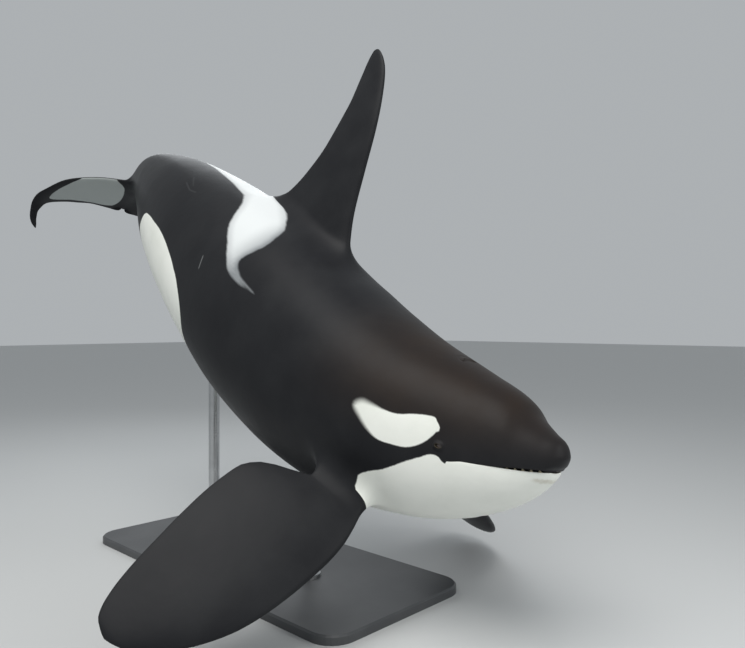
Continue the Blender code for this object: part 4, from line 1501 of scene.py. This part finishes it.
@dataclass(frozen=True)
class Markings:
    """The white and grey patches, as outlines on the flattened skin of one side."""

    eye_patch: Outline = Outline((
        (1.203, 0.442), (1.164, 0.419), (1.082, 0.416), (1.000, 0.419), (0.903, 0.417), (0.789, 0.396),
        (0.679, 0.384), (0.648, 0.400), (0.629, 0.416), (0.621, 0.430), (0.630, 0.440), (0.641, 0.444),
        (0.658, 0.463), (0.712, 0.502), (0.801, 0.530), (0.903, 0.532), (1.000, 0.526), (1.082, 0.497),
        (1.147, 0.468),
    ))
    underside: Outline = Outline((
        (-0.08, 1.30), (-0.08, 0.50), (0.20, 0.52), (0.47, 0.545), (0.515, 0.551), (0.542, 0.565),
        (0.570, 0.573), (0.590, 0.563), (0.612, 0.546), (0.655, 0.543), (0.705, 0.557), (0.821, 0.595),
        (0.944, 0.639), (1.010, 0.655), (1.066, 0.678), (1.122, 0.714), (1.205, 0.760), (1.262, 0.815),
        (1.320, 0.888), (1.650, 0.925), (2.050, 0.922), (2.500, 0.905), (2.800, 0.880), (2.960, 0.820),
        (3.030, 0.740), (3.082, 0.655), (3.168, 0.604), (3.297, 0.558), (3.447, 0.529), (3.620, 0.505),
        (3.810, 0.492), (4.000, 0.498), (4.150, 0.508), (4.240, 0.530), (4.310, 0.590), (4.360, 0.660),
        (4.330, 0.735), (4.170, 0.790), (3.880, 0.825), (3.620, 0.858), (3.780, 0.895), (4.100, 0.915),
        (4.450, 0.940), (4.700, 0.985), (4.760, 1.100), (4.500, 1.300),
    ))
    saddle: Outline = Outline((
        (4.330, -0.060), (4.300, 0.012), (4.100, 0.038), (3.806, 0.072), (3.515, 0.104), (3.437, 0.116),
        (3.309, 0.166), (3.232, 0.219), (3.155, 0.263), (3.004, 0.310), (2.903, 0.342), (2.803, 0.366),
        (2.653, 0.371), (2.505, 0.360), (2.431, 0.354), (2.628, 0.350), (2.703, 0.340), (2.753, 0.329),
        (2.778, 0.308), (2.753, 0.264), (2.728, 0.221), (2.778, 0.149), (2.853, 0.108), (3.004, 0.066),
        (3.130, 0.040), (3.250, 0.022), (3.400, 0.008), (3.450, -0.060),
    ))
    # The white under the flukes; the skin's finish paints it grey, partly a greyer skin and partly painted
    # shade.
    fluke_white_in_painted_shade: Outline = Outline((
        (0.130, 0.150), (0.060, 0.300), (0.110, 0.400), (0.170, 0.500), (0.240, 0.580), (0.340, 0.660),
        (0.450, 0.725), (0.550, 0.765), (0.630, 0.770), (0.675, 0.700), (0.690, 0.560), (0.695, 0.420),
        (0.690, 0.300), (0.675, 0.180), (0.610, 0.110), (0.490, 0.080), (0.360, 0.085), (0.220, 0.110),
    ))
    nowhere: float = -0.5
    lip_margin: float = 0.010
    lip_clear: float = 0.004
    corner_girth: float = 0.570
    corner_lean: float = 0.9
    corner_spot: float = 0.004
    corner_reach: float = 0.018
    fin_ends_white: tuple[float, float] = (0.36, 0.97)
    fin_ends_saddle: tuple[float, float] = (0.35, 0.85)
    saddle_drop: float = 0.3
    left_fluke_start: float = 0.07
    girth_places: int = 60

    def paint(self, sheets: Sheets, torso: Torso) -> dict[str, Array]:
        """Work out how deep in each marking every point of the skin lies.

        Args:
            sheets: The gathered points.
            torso: The body's cross-sections.

        Returns:
            Named values of every point.
        """
        places = np.linspace(0.0, torso.stations[-1][0], self.girth_places)
        lengths = SmoothCurve(places, [float(torso.half_girth(place)[1][-1]) for place in places])
        straight, girth, part, fade = map(sheets.gather, ("straight", "girth", "part", "fade"))
        along, left = straight[:, 0], straight[:, 1]
        under = self.underside.depth(along, girth, lengths)
        ahead = along < Mouth().corner - self.lip_clear
        jaw = part == Part.JAW.value
        under = np.where(jaw & ahead, np.maximum(under, self.lip_margin), under)
        under = np.where(~jaw & ahead, np.minimum(under, -self.lip_margin), under)
        under = under + self.nowhere * smooth_step(*self.fin_ends_white, fade)
        spot = np.hypot(along - Mouth().corner, (girth - self.corner_girth) * self.corner_lean)
        under = under - self.corner_spot * bell(spot, 0.0, self.corner_reach)
        patch = self.eye_patch.depth(along, girth, lengths)
        out = np.abs(left) - np.where(left > 0.0, self.left_fluke_start, 0.0)
        fluke = self.fluke_white_in_painted_shade.depth(along - FinSet().fluke_start, out, np.ones_like)
        fluke = np.where(part == Part.FLUKE_UNDER.value, fluke, self.nowhere)
        saddle = self.saddle.depth(along, girth * (1 - fade), lengths)
        saddle = saddle - self.saddle_drop * smooth_step(*self.fin_ends_saddle, fade)
        saddle = np.where(part > Part.FIN.value, self.nowhere, saddle)
        depths = {"white": np.maximum(under, fluke), "patch": patch - fade, "saddle": saddle}
        return {name: np.maximum(depth, self.nowhere) for name, depth in depths.items()}


Colour = tuple[float, float, float]


class Sock:
    """One output of a material's nodes, on which sums can be written."""

    def __init__(self, painter: "Painter", socket: bpy.types.NodeSocket) -> None:
        """Wrap a socket of a painter's tree."""
        self.painter = painter
        self.socket = socket

    def _sum(self, operation: str, first: Any, second: Any) -> "Sock":
        """Add a Math node for two values."""
        return self.painter.node("ShaderNodeMath", {"operation": operation}, {0: first, 1: second})

    def __add__(self, other: Any) -> "Sock":
        """Add."""
        return self._sum("ADD", self, other)

    def __radd__(self, other: Any) -> "Sock":
        """Add, with the number first."""
        return self._sum("ADD", other, self)

    def __sub__(self, other: Any) -> "Sock":
        """Take away."""
        return self._sum("SUBTRACT", self, other)

    def __rsub__(self, other: Any) -> "Sock":
        """Take away from a number."""
        return self._sum("SUBTRACT", other, self)

    def __mul__(self, other: Any) -> "Sock":
        """Multiply."""
        return self._sum("MULTIPLY", self, other)

    def __rmul__(self, other: Any) -> "Sock":
        """Multiply, with the number first."""
        return self._sum("MULTIPLY", other, self)

    def most(self, other: Any) -> "Sock":
        """The greater of two values."""
        return self._sum("MAXIMUM", self, other)

    def step(self, low: Any, high: Any) -> "Sock":
        """Rise smoothly from 0 at low to 1 at high."""
        return self.painter.node("ShaderNodeMapRange", {"interpolation_type": "SMOOTHSTEP"},
                                 {0: self, 1: low, 2: high, 3: 0.0, 4: 1.0})


class Painter:
    """The nodes of one material, with its shader."""

    def __init__(self, name: str) -> None:
        """Start a material that holds only its shader and output."""
        self.material = bpy.data.materials.new(name)
        self.material.use_nodes = True
        self.tree = self.material.node_tree
        self.shader = self.tree.nodes["Principled BSDF"]

    def node(self, kind: str, settings: dict[str, Any], values: dict[Any, Any], output: Any = 0) -> Sock:
        """Add a node.

        Args:
            kind: The node's type.
            settings: Its own settings, set first; "stops" are a ramp's colours.
            values: Values or links of its inputs, by number or name.
            output: Which of its outputs to give.

        Returns:
            The output.
        """
        node = self.tree.nodes.new(kind)
        for label, value in settings.items():
            if label == "stops":
                self.set_stops(node.color_ramp, value)
            else:
                setattr(node, label, value)
        for label, value in values.items():
            self.feed(node.inputs[label], value)
        return Sock(self, node.outputs[output])

    def set_stops(self, ramp: bpy.types.ColorRamp, stops: Sequence[tuple[float, Colour]]) -> None:
        """Set the colours of a ramp."""
        while len(ramp.elements) < len(stops):
            ramp.elements.new(1.0)
        for element, (place, colour) in zip(ramp.elements, stops):
            element.position = place
            element.color = (*colour, 1.0)

    def feed(self, socket: bpy.types.NodeSocket, value: Any) -> None:
        """Link an output to an input, or set the input's own value.

        Args:
            socket: The input.
            value: An output, a colour or a number.
        """
        if isinstance(value, Sock):
            self.tree.links.new(value.socket, socket)
        elif isinstance(value, tuple) and len(value) == 3 and socket.type == "RGBA":
            socket.default_value = (*value, 1.0)
        else:
            socket.default_value = value

    def attribute(self, name: str, vector: bool = False) -> Sock:
        """Read a value that the mesh holds."""
        return self.node("ShaderNodeAttribute", {"attribute_name": name}, {}, "Vector" if vector else "Fac")

    def object_place(self) -> Sock:
        """Places in the object's own coordinates."""
        return self.node("ShaderNodeTexCoord", {}, {}, "Object")

    def blend(self, first: Any, second: Any, share: Any) -> Sock:
        """Blend two colours by a share of the second."""
        return self.node("ShaderNodeMix", {"data_type": "RGBA"}, {0: share, 6: first, 7: second}, 2)

    def noise(self, place: Sock, scale: float, detail: float = 3.0, roughness: float = 0.55) -> Sock:
        """Even noise about 0, from about -0.5 to 0.5."""
        values = {"Vector": place, "Scale": scale, "Detail": detail, "Roughness": roughness}
        return self.node("ShaderNodeTexNoise", {}, values, "Fac") - 0.5

    def stretch(self, place: Sock, scale: Colour) -> Sock:
        """Scale a place by different amounts along its axes."""
        return self.node("ShaderNodeVectorMath", {"operation": "MULTIPLY"}, {0: place, 1: scale})

    def part_of(self, place: Sock, axis: int) -> Sock:
        """One number of a vector."""
        return self.node("ShaderNodeSeparateXYZ", {}, {0: place}, axis)

    def bump(self, height: Sock) -> None:
        """Feed heights in metres to the shader's normal."""
        values = {"Strength": 1.0, "Distance": 1.0, "Height": height}
        self.feed(self.shader.inputs["Normal"], self.node("ShaderNodeBump", {}, values))

    def finish(self, **values: Any) -> bpy.types.Material:
        """Feed the shader's inputs, named with underscores, and give the material."""
        for label, value in values.items():
            self.feed(self.shader.inputs[label.replace("_", " ")], value)
        return self.material


@dataclass(frozen=True)
class Scratch:
    """A thin line on the right flank; its ends are a distance and a height."""

    start: tuple[float, float]
    end: tuple[float, float]
    strength: float


@dataclass(frozen=True)
class SkinFinish:
    """Smooth wet skin: near black, with white and grey patches, a warm brown on top of the head that is
    partly skin tone and partly painted light from above, and a grey under the flukes that is partly painted
    shade.
    """

    black: Colour = (0.0130, 0.0135, 0.0155)
    # A warm tint laid on the top of the head, partly the skin's tone and partly painted light from above.
    brown: Colour = (0.024, 0.0165, 0.0125)
    grey_black: Colour = (0.022, 0.023, 0.025)
    white: Colour = (0.865, 0.880, 0.825)
    white_low: Colour = (0.740, 0.765, 0.700)
    # The white under the flukes painted grey: partly a greyer skin, partly painted shade under the flukes.
    fluke_white_in_painted_shade: Colour = (0.400, 0.430, 0.420)
    stain: Colour = (0.400, 0.345, 0.235)
    saddle: Colour = (0.640, 0.665, 0.670)
    saddle_smoke: Colour = (0.225, 0.240, 0.250)
    lining: Colour = (0.052, 0.044, 0.030)
    white_edge: tuple[float, float] = (-0.004, 0.004)
    patch_edge: float = 0.004
    patch_softer: float = 0.022
    patch_softens: tuple[float, float] = (0.95, 1.18)
    saddle_edge: tuple[float, float] = (-0.011, 0.013)
    smoke_ahead: tuple[float, float] = (2.98, 2.70)
    smoke_inside: tuple[float, float] = (0.07, 0.0)
    smoke_shares: tuple[float, float] = (0.75, 0.35)
    # Where the warm brown lies: the front of the body on its upper part, where light from above falls; partly
    # painted light.
    brown_and_light_along: tuple[float, float] = (1.9, 0.9)
    brown_and_light_up: tuple[float, float] = (-0.10, 0.35)
    # Where the painted shade on the white under the flukes begins.
    fluke_painted_shade_begins: tuple[float, float] = (5.4, 5.7)
    roughness: float = 0.44
    wetter_lining: float = 0.15
    grain_height: float = 0.00015
    swell_height: float = 0.0012
    stain_at: tuple[float, float] = (0.118, -0.098)
    stain_reach: tuple[float, float] = (0.034, 0.014)
    stain_share: float = 0.42
    scratch_edge: tuple[float, float] = (0.008, 0.003)
    scratch_fade: float = 0.01
    right_side: tuple[float, float] = (-0.10, -0.20)
    scratches: tuple[Scratch, ...] = (
        Scratch((3.128, 0.195), (3.085, 0.106), 0.16), Scratch((3.976, 0.393), (3.847, 0.384), 0.022),
        Scratch((3.847, 0.384), (3.762, 0.410), 0.022), Scratch((3.989, 0.448), (3.867, 0.419), 0.018),
    )

    def make(self) -> bpy.types.Material:
        """Build the material.

        Returns:
            The material.
        """
        paint = Painter("orca_skin")
        place = paint.attribute("straight", vector=True)
        along, up = paint.part_of(place, 0), paint.part_of(place, 2)
        wobble = paint.noise(place, 9.0, 4.0) * 0.010 + paint.noise(place, 70.0) * 0.005
        white = (paint.attribute("white") + wobble).step(*self.white_edge)
        soft = along.step(*self.patch_softens) * self.patch_softer + self.patch_edge
        patch = (paint.attribute("patch") + wobble * 0.6).step(soft * -1.0, soft)
        saddle_in = paint.attribute("saddle")
        streaks = paint.noise(paint.stretch(place, (5.0, 30.0, 30.0)), 1.0, 5.0) * 0.014
        saddle_edge = saddle_in + streaks + wobble
        saddle = saddle_edge.step(*self.saddle_edge)
        ahead, inside = self.smoke_shares
        smoke = along.step(*self.smoke_ahead) * ahead + saddle_edge.step(*self.smoke_inside) * inside
        mottle = paint.noise(place, 3.0, 5.0)
        dark = paint.blend(self.black, self.grey_black, (mottle * 1.4 + 0.35).step(0.0, 1.0))
        # Painted light, in part: the top of the head turns warm brown, as if lit from above.
        head = along.step(*self.brown_and_light_along) * up.step(*self.brown_and_light_up)
        dark = paint.blend(dark, self.brown, head * (mottle + 0.75))
        pale = paint.blend(self.white, self.white_low, (paint.noise(place, 2.2, 6.0) + 0.12).step(0.0, 0.55))
        # Painted shade, in part: the white under the flukes turns grey from here back.
        pale = paint.blend(pale, self.fluke_white_in_painted_shade, along.step(*self.fluke_painted_shade_begins))
        pale = paint.blend(pale, self.stain, self.stain_mask(paint, place, along, up) * self.stain_share)
        grey = paint.blend(self.saddle, self.saddle_smoke, smoke)
        colour = paint.blend(dark, grey, saddle)
        colour = paint.blend(colour, pale, white.most(patch))
        for line in self.scratches:
            shown = self.scratch_mask(paint, along, up, line) * line.strength
            colour = paint.blend(colour, self.saddle, shown)
        colour = paint.blend(colour, self.lining, paint.attribute("lining"))
        fine = paint.noise(place, 240.0, 2.0) * self.grain_height
        swell = paint.noise(place, 11.0, 2.0) * self.swell_height
        paint.bump(fine + swell)
        rough = self.roughness + paint.noise(place, 6.0) * 0.16 + paint.noise(place, 90.0) * 0.08
        rough = rough - paint.attribute("lining") * self.wetter_lining
        return paint.finish(Base_Color=colour, Roughness=rough, IOR=1.36, Specular_IOR_Level=0.20)

    def stain_mask(self, paint: Painter, place: Sock, along: Sock, up: Sock) -> Sock:
        """A faint brown stain with a ragged edge, low on the tip of the jaw."""
        off_along = (along - self.stain_at[0]) * (1.0 / self.stain_reach[0])
        off_up = (up - self.stain_at[1]) * (1.0 / self.stain_reach[1])
        away = off_along * off_along + off_up * off_up + paint.noise(place, 60.0) * 2.6
        return away.step(1.8, -0.4)

    def scratch_mask(self, paint: Painter, along: Sock, up: Sock, line: Scratch) -> Sock:
        """Where a thin scratch lies on the right flank.

        Args:
            paint: The skin's painter.
            along: Distance from the snout.
            up: Height in the straight body.
            line: The scratch.

        Returns:
            A mask, 1 on the scratch.
        """
        (start_along, start_up), (end_along, end_up), fade = line.start, line.end, self.scratch_fade
        length = math.hypot(end_along - start_along, end_up - start_up)
        run = ((end_along - start_along) / length, (end_up - start_up) / length)
        far = (along - start_along) * run[0] + (up - start_up) * run[1]
        aside = (along - start_along) * run[1] - (up - start_up) * run[0]
        on_line = paint.node("ShaderNodeMath", {"operation": "ABSOLUTE"}, {0: aside}).step(*self.scratch_edge)
        side = paint.part_of(paint.attribute("straight", vector=True), 1).step(*self.right_side)
        return on_line * far.step(-fade, fade) * far.step(length + fade, length - fade) * side


@dataclass(frozen=True)
class EyeFinish:
    """A dark brown eye, wet and clear over its iris."""

    pupil: Colour = (0.004, 0.004, 0.005)
    iris: Colour = (0.045, 0.022, 0.012)
    rim: Colour = (0.016, 0.012, 0.012)
    pupil_edge: tuple[float, float] = (0.20, 0.15)
    rim_edge: tuple[float, float] = (0.28, 0.52)

    def make(self) -> bpy.types.Material:
        """Build the material.

        Returns:
            The material.
        """
        paint = Painter("orca_eye")
        out = paint.attribute("from_pupil")
        place = paint.object_place()
        fibres = paint.noise(place, 260.0) * 0.5
        iris = paint.blend(self.iris, self.rim, (fibres + out).step(*self.rim_edge))
        colour = paint.blend(iris, self.pupil, out.step(*self.pupil_edge))
        return paint.finish(Base_Color=colour, Roughness=0.06, Coat_Weight=1.0, Coat_Roughness=0.03)


@dataclass(frozen=True)
class ToothFinish:
    """Worn ivory, stained towards the gum."""

    tip: Colour = (0.80, 0.75, 0.56)
    root: Colour = (0.52, 0.44, 0.28)
    stain_ends: tuple[float, float] = (0.1, 0.8)

    def make(self) -> bpy.types.Material:
        """Build the material.

        Returns:
            The material.
        """
        paint = Painter("tooth_ivory")
        rise = paint.attribute("rise") + paint.noise(paint.object_place(), 300.0) * 0.3
        colour = paint.blend(self.root, self.tip, rise.step(*self.stain_ends))
        return paint.finish(Base_Color=colour, Roughness=0.32)


@dataclass(frozen=True)
class StandFinish:
    """The stand's coated base and its brushed steel rods."""

    base: Colour = (0.055, 0.058, 0.062)
    base_light: Colour = (0.085, 0.088, 0.092)
    steel: Colour = (0.56, 0.57, 0.58)
    steel_dull: Colour = (0.44, 0.45, 0.46)
    grain_height: float = 0.00012
    brush_height: float = 0.00006

    def coated(self) -> bpy.types.Material:
        """Fine-grained satin coating.

        Returns:
            The material.
        """
        paint = Painter("stand_coating")
        place = paint.object_place()
        cloud = paint.noise(place, 2.5, 5.0)
        colour = paint.blend(self.base, self.base_light, (cloud + 0.5).step(0.3, 0.8))
        grain = paint.noise(place, 900.0, 2.0)
        paint.bump(grain * self.grain_height)
        return paint.finish(Base_Color=colour, Roughness=0.46 + cloud * 0.12 + grain * 0.06)

    def brushed(self) -> bpy.types.Material:
        """Steel brushed round the rod.

        Returns:
            The material.
        """
        paint = Painter("stand_steel")
        place = paint.object_place()
        lines = paint.noise(paint.stretch(place, (4.0, 4.0, 1400.0)), 1.0, 3.0)
        cloud = paint.noise(place, 6.0, 4.0)
        colour = paint.blend(self.steel, self.steel_dull, (cloud + lines * 0.6 + 0.5).step(0.3, 0.9))
        paint.bump(lines * self.brush_height)
        return paint.finish(Base_Color=colour, Roughness=0.30 + lines * 0.18 + cloud * 0.1, Metallic=1.0)


@dataclass
class Skin:
    """The whole skin of the animal, one closed mesh."""

    hull: Hull
    atlas: Atlas = field(default_factory=Atlas)
    sheets: Sheets = field(default_factory=Sheets)
    melt_cells: float = 7.0
    end_chart: tuple[tuple[float, float], ...] = ((1.0, 0.2), (0.004, 0.0))
    nodes: tuple[str, ...] = (
        "head", "lower_jaw", "chest", "trunk", "tail_stock", "dorsal_fin",
        "flipper_right", "flipper_left", "fluke_right", "fluke_left",
    )

    def build(self) -> bpy.types.Object:
        """Build and dress the skin.

        Returns:
            The new object.
        """
        fins = FinSet().make(self.hull)
        for fin in fins:
            fin.build(self.hull, self.sheets, self.atlas)
        gaps = [fin.gap for fin in fins]
        gaps += [Eye().add_skin(self.hull, self.sheets, self.atlas, side) for side in (-1, 1)]
        gaps.append(Blowhole().add_skin(self.hull, self.sheets, self.atlas))
        self.add_body(gaps, len(fins))
        for jaw in (False, True):
            MouthLining().add(self.hull, self.sheets, self.atlas, jaw)
        values = Markings().paint(self.sheets, self.hull.torso)
        for name in ("straight", "lining", "melt"):
            values[name] = self.sheets.gather(name)
        skin = self.sheets.build("orca_skin", values)
        skin.data.materials.append(SkinFinish().make())
        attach(skin, "root")
        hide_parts(*self.nodes)
        return skin

    def add_body(self, gaps: list[Gap], roots: int) -> None:
        """Add the body's sheets.

        Args:
            gaps: What is left open.
            roots: How many of the first gaps are roots of fins, where the skin is smoothed.
        """
        hull = self.hull
        corner, lip = hull.corner_row, hull.column_at(hull.lip_deg)
        far_lip = hull.columns - lip
        row, column = np.meshgrid(np.arange(len(hull.along) - 1), np.arange(hull.columns), indexing="ij")
        keep = np.ones(row.shape, bool)
        for gap in gaps:
            keep &= ~gap.holds(row, column, hull.columns)
        row, column = np.meshgrid(np.arange(len(hull.along)), np.arange(hull.columns + 1), indexing="ij")
        away = np.min([gap.cells_away(row, column, hull.columns) for gap in gaps[:roots]], axis=0)
        melt = smooth_step(self.melt_cells, 0.0, away) * hull.melt_share(hull.along)[:, None]
        front, rest = slice(0, corner + 1), slice(corner, None)
        spans = (
            (hull.upper, rest, slice(0, None), Part.BACK),
            (hull.upper, front, slice(lip, far_lip + 1), Part.BACK),
            (hull.lower, front, slice(0, lip + 1), Part.JAW),
            (hull.lower, front, slice(far_lip, None), Part.JAW),
        )
        for layer, rows, columns, part in spans:
            world, straight, girth, chart = (
                layer[name][rows, columns] for name in ("world", "straight", "girth", "chart"))
            kept = keep[rows, columns][: len(world) - 1, : world.shape[1] - 1]
            self.sheets.add(world, straight, girth, self.atlas.body(chart), part, keep=kept,
                            melt=melt[rows, columns])
        end = hull.upper["world"][-1]
        closed = np.stack([end, np.broadcast_to(end[:-1].mean(axis=0), end.shape)])
        chart = hull.upper["chart"][-1]
        chart = self.atlas.body(np.stack([chart, chart * self.end_chart[0] + self.end_chart[1]]))
        straight = np.stack([hull.upper["straight"][-1]] * 2)
        self.sheets.add(closed, straight, np.stack([hull.upper["girth"][-1]] * 2), chart)


@dataclass(frozen=True)
class Teeth:
    """The tips of the lower teeth that the parted lips show."""

    per_side: int = 5
    first: float = 0.122
    last: float = 0.258
    radius: float = 0.0105
    in_lip: float = 0.017
    root: float = 0.008
    clear: float = 0.0018
    sides: int = 16
    lean_back: float = 0.10
    flatness: float = 0.85
    profile: tuple[tuple[float, float], ...] = (
        (-0.5, 1.00), (0.0, 0.97), (0.3, 0.86), (0.55, 0.70), (0.78, 0.48), (0.92, 0.28), (1.0, 0.04),
    )

    def build(self, hull: Hull) -> bpy.types.Object:
        """Build all teeth as one piece.

        Args:
            hull: The body's grid.

        Returns:
            The new object.
        """
        points: list[Array] = []
        faces: list[list[int]] = []
        rises: list[float] = []
        turn = np.linspace(0.0, 2 * math.pi, self.sides, endpoint=False)
        for side in (-1, 1):
            for along in np.linspace(self.first, self.last, self.per_side):
                start = sum(map(len, points))
                points.append(self.tooth(hull, float(along), side, turn))
                rises += [rise for rise, _ in self.profile for _ in turn]
                for level in range(len(self.profile) - 1):
                    for i in range(self.sides):
                        j = (i + 1) % self.sides
                        low, high = start + level * self.sides, start + (level + 1) * self.sides
                        faces.append([low + i, low + j, high + j, high + i])
                top = start + (len(self.profile) - 1) * self.sides
                faces.append([top + i for i in range(self.sides)])
                faces.append([start + i for i in range(self.sides)][::-1])
        mesh = bpy.data.meshes.new("teeth")
        mesh.from_pydata(np.concatenate(points).tolist(), [], faces)
        rise = mesh.attributes.new("rise", "FLOAT", "POINT")
        rise.data.foreach_set("value", np.array(rises, np.float32))
        mesh.shade_smooth()
        work = bmesh.new()
        work.from_mesh(mesh)
        bmesh.ops.recalc_face_normals(work, faces=work.faces)
        work.to_mesh(mesh)
        work.free()
        mesh.materials.append(ToothFinish().make())
        teeth = bpy.data.objects.new("teeth", mesh)
        bpy.context.scene.collection.objects.link(teeth)
        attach(teeth, "root")
        return teeth

    def tooth(self, hull: Hull, along: float, side: int, turn: Array) -> Array:
        """The rings of one tooth, root first.

        Args:
            hull: The body's grid.
            along: Where it stands.
            side: 1 for left, -1 for right.
            turn: Angles of a ring's points.

        Returns:
            Places on the bent body.
        """
        gap = float(hull.mouth.gap(along))
        floor = float(hull.mouth.line_up(along)) - gap / 2
        shift = hull.mouth.jaw_shift
        before = along - float(shift(along - float(shift(along))))
        angle = hull.torso.angle_at(np.array(before), np.array(floor))
        left = side * (float(hull.torso.place(before, angle)[1]) - self.in_lip)
        height = gap - self.clear
        rings = []
        for rise, share in self.profile:
            lift = rise * height if rise > 0 else rise * 2 * self.root
            lean = self.lean_back * max(rise, 0.0) ** 2 * height
            radius = self.radius * share
            ahead = along + lean + radius * np.cos(turn)
            aside = left + radius * self.flatness * np.sin(turn)
            rings.append(np.stack([ahead, aside, np.full_like(turn, floor + lift)], axis=-1))
        return hull.spine.lay(np.concatenate(rings))


@dataclass(frozen=True)
class Lamp:
    """A soft square lamp."""

    name: str
    at: tuple[float, float, float]
    looks_to: tuple[float, float, float]
    size: float
    watts: float
    colour: Colour

    def build(self) -> None:
        """Hang the lamp."""
        data = bpy.data.lights.new(self.name, "AREA")
        data.shape, data.size, data.energy, data.color = "SQUARE", self.size, self.watts, self.colour
        lamp = bpy.data.objects.new(self.name, data)
        lamp.location = self.at
        lamp.rotation_euler = (Vector(self.looks_to) - Vector(self.at)).to_track_quat("-Z", "Y").to_euler()
        bpy.context.scene.collection.objects.link(lamp)


@dataclass(frozen=True)
class Studio:
    """A pale floor, soft light and the camera at the photograph's angle."""

    camera_at: tuple[float, float, float] = (4.830, -3.302, 1.878)
    camera_looks: tuple[float, float, float] = (-0.6914, 0.7225, 0.0)
    focal_pixels: float = 702.7
    sensor: float = 36.0
    floor_size: float = 120.0
    floor: Colour = (0.56, 0.57, 0.57)
    sky: Colour = (0.80, 0.84, 0.87)
    sky_strength: float = 0.52
    far_clip: float = 200.0
    lamps: tuple[Lamp, ...] = (
        Lamp("lamp_key", (2.6, -3.4, 7.2), (0.4, 0.1, 1.6), 5.0, 430.0, (1.0, 0.985, 0.96)),
        Lamp("lamp_back", (-4.5, 3.5, 6.5), (-0.5, 0.1, 2.4), 4.0, 120.0, (0.93, 0.97, 1.0)),
        Lamp("lamp_front", (6.8, 0.8, 3.0), (1.8, 0.0, 1.4), 3.0, 70.0, (1.0, 1.0, 1.0)),
    )

    def build(self) -> None:
        """Make the floor, the lights and the camera."""
        scene = bpy.context.scene
        bpy.ops.mesh.primitive_plane_add(size=self.floor_size)
        floor = bpy.context.object
        floor.name = "studio_floor"
        paint = Painter("studio_floor")
        floor.data.materials.append(paint.finish(Base_Color=self.floor, Roughness=0.85))
        world = bpy.data.worlds.new("studio")
        scene.world = world
        world.use_nodes = True
        background = world.node_tree.nodes["Background"]
        background.inputs["Color"].default_value = (*self.sky, 1.0)
        background.inputs["Strength"].default_value = self.sky_strength
        for lamp in self.lamps:
            lamp.build()
        data = bpy.data.cameras.new("photo_camera")
        data.lens = self.focal_pixels / PHOTO_WIDTH * self.sensor
        data.sensor_width = self.sensor
        data.clip_end = self.far_clip
        camera = bpy.data.objects.new("photo_camera", data)
        camera.location = self.camera_at
        camera.rotation_euler = Vector(self.camera_looks).to_track_quat("-Z", "Y").to_euler()
        scene.collection.objects.link(camera)
        scene.camera = camera
        scene.view_settings.view_transform = "Standard"


def dress_stand() -> None:
    """Give the stand's own solids their finishes."""
    finish = StandFinish()
    coated, brushed = finish.coated(), finish.brushed()
    for name, material in (("stand_base", coated), ("stand_rod_front", brushed), ("stand_rod_rear", brushed)):
        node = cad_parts[name]
        for holder in node.material_slots:
            holder.material = material
        LOG.info("%s dressed", name)


def main() -> None:
    """Build every piece in order."""
    logging.basicConfig(level=logging.INFO, format="%(name)s: %(message)s")
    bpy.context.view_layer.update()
    hull = Hull(Spine(), Torso(), Mouth())
    LOG.info("hull: %d rows of %d points", len(hull.along), hull.columns)
    Skin(hull).build()
    LOG.info("skin built")
    eye_finish = EyeFinish().make()
    for side in (-1, 1):
        ball = Eye().add_ball(hull, side)
        ball.data.materials.append(eye_finish)
        LOG.info("%s built", ball.name)
    Teeth().build(hull)
    LOG.info("teeth built")
    dress_stand()
    Studio().build()


if __name__ == "__main__":
    main()
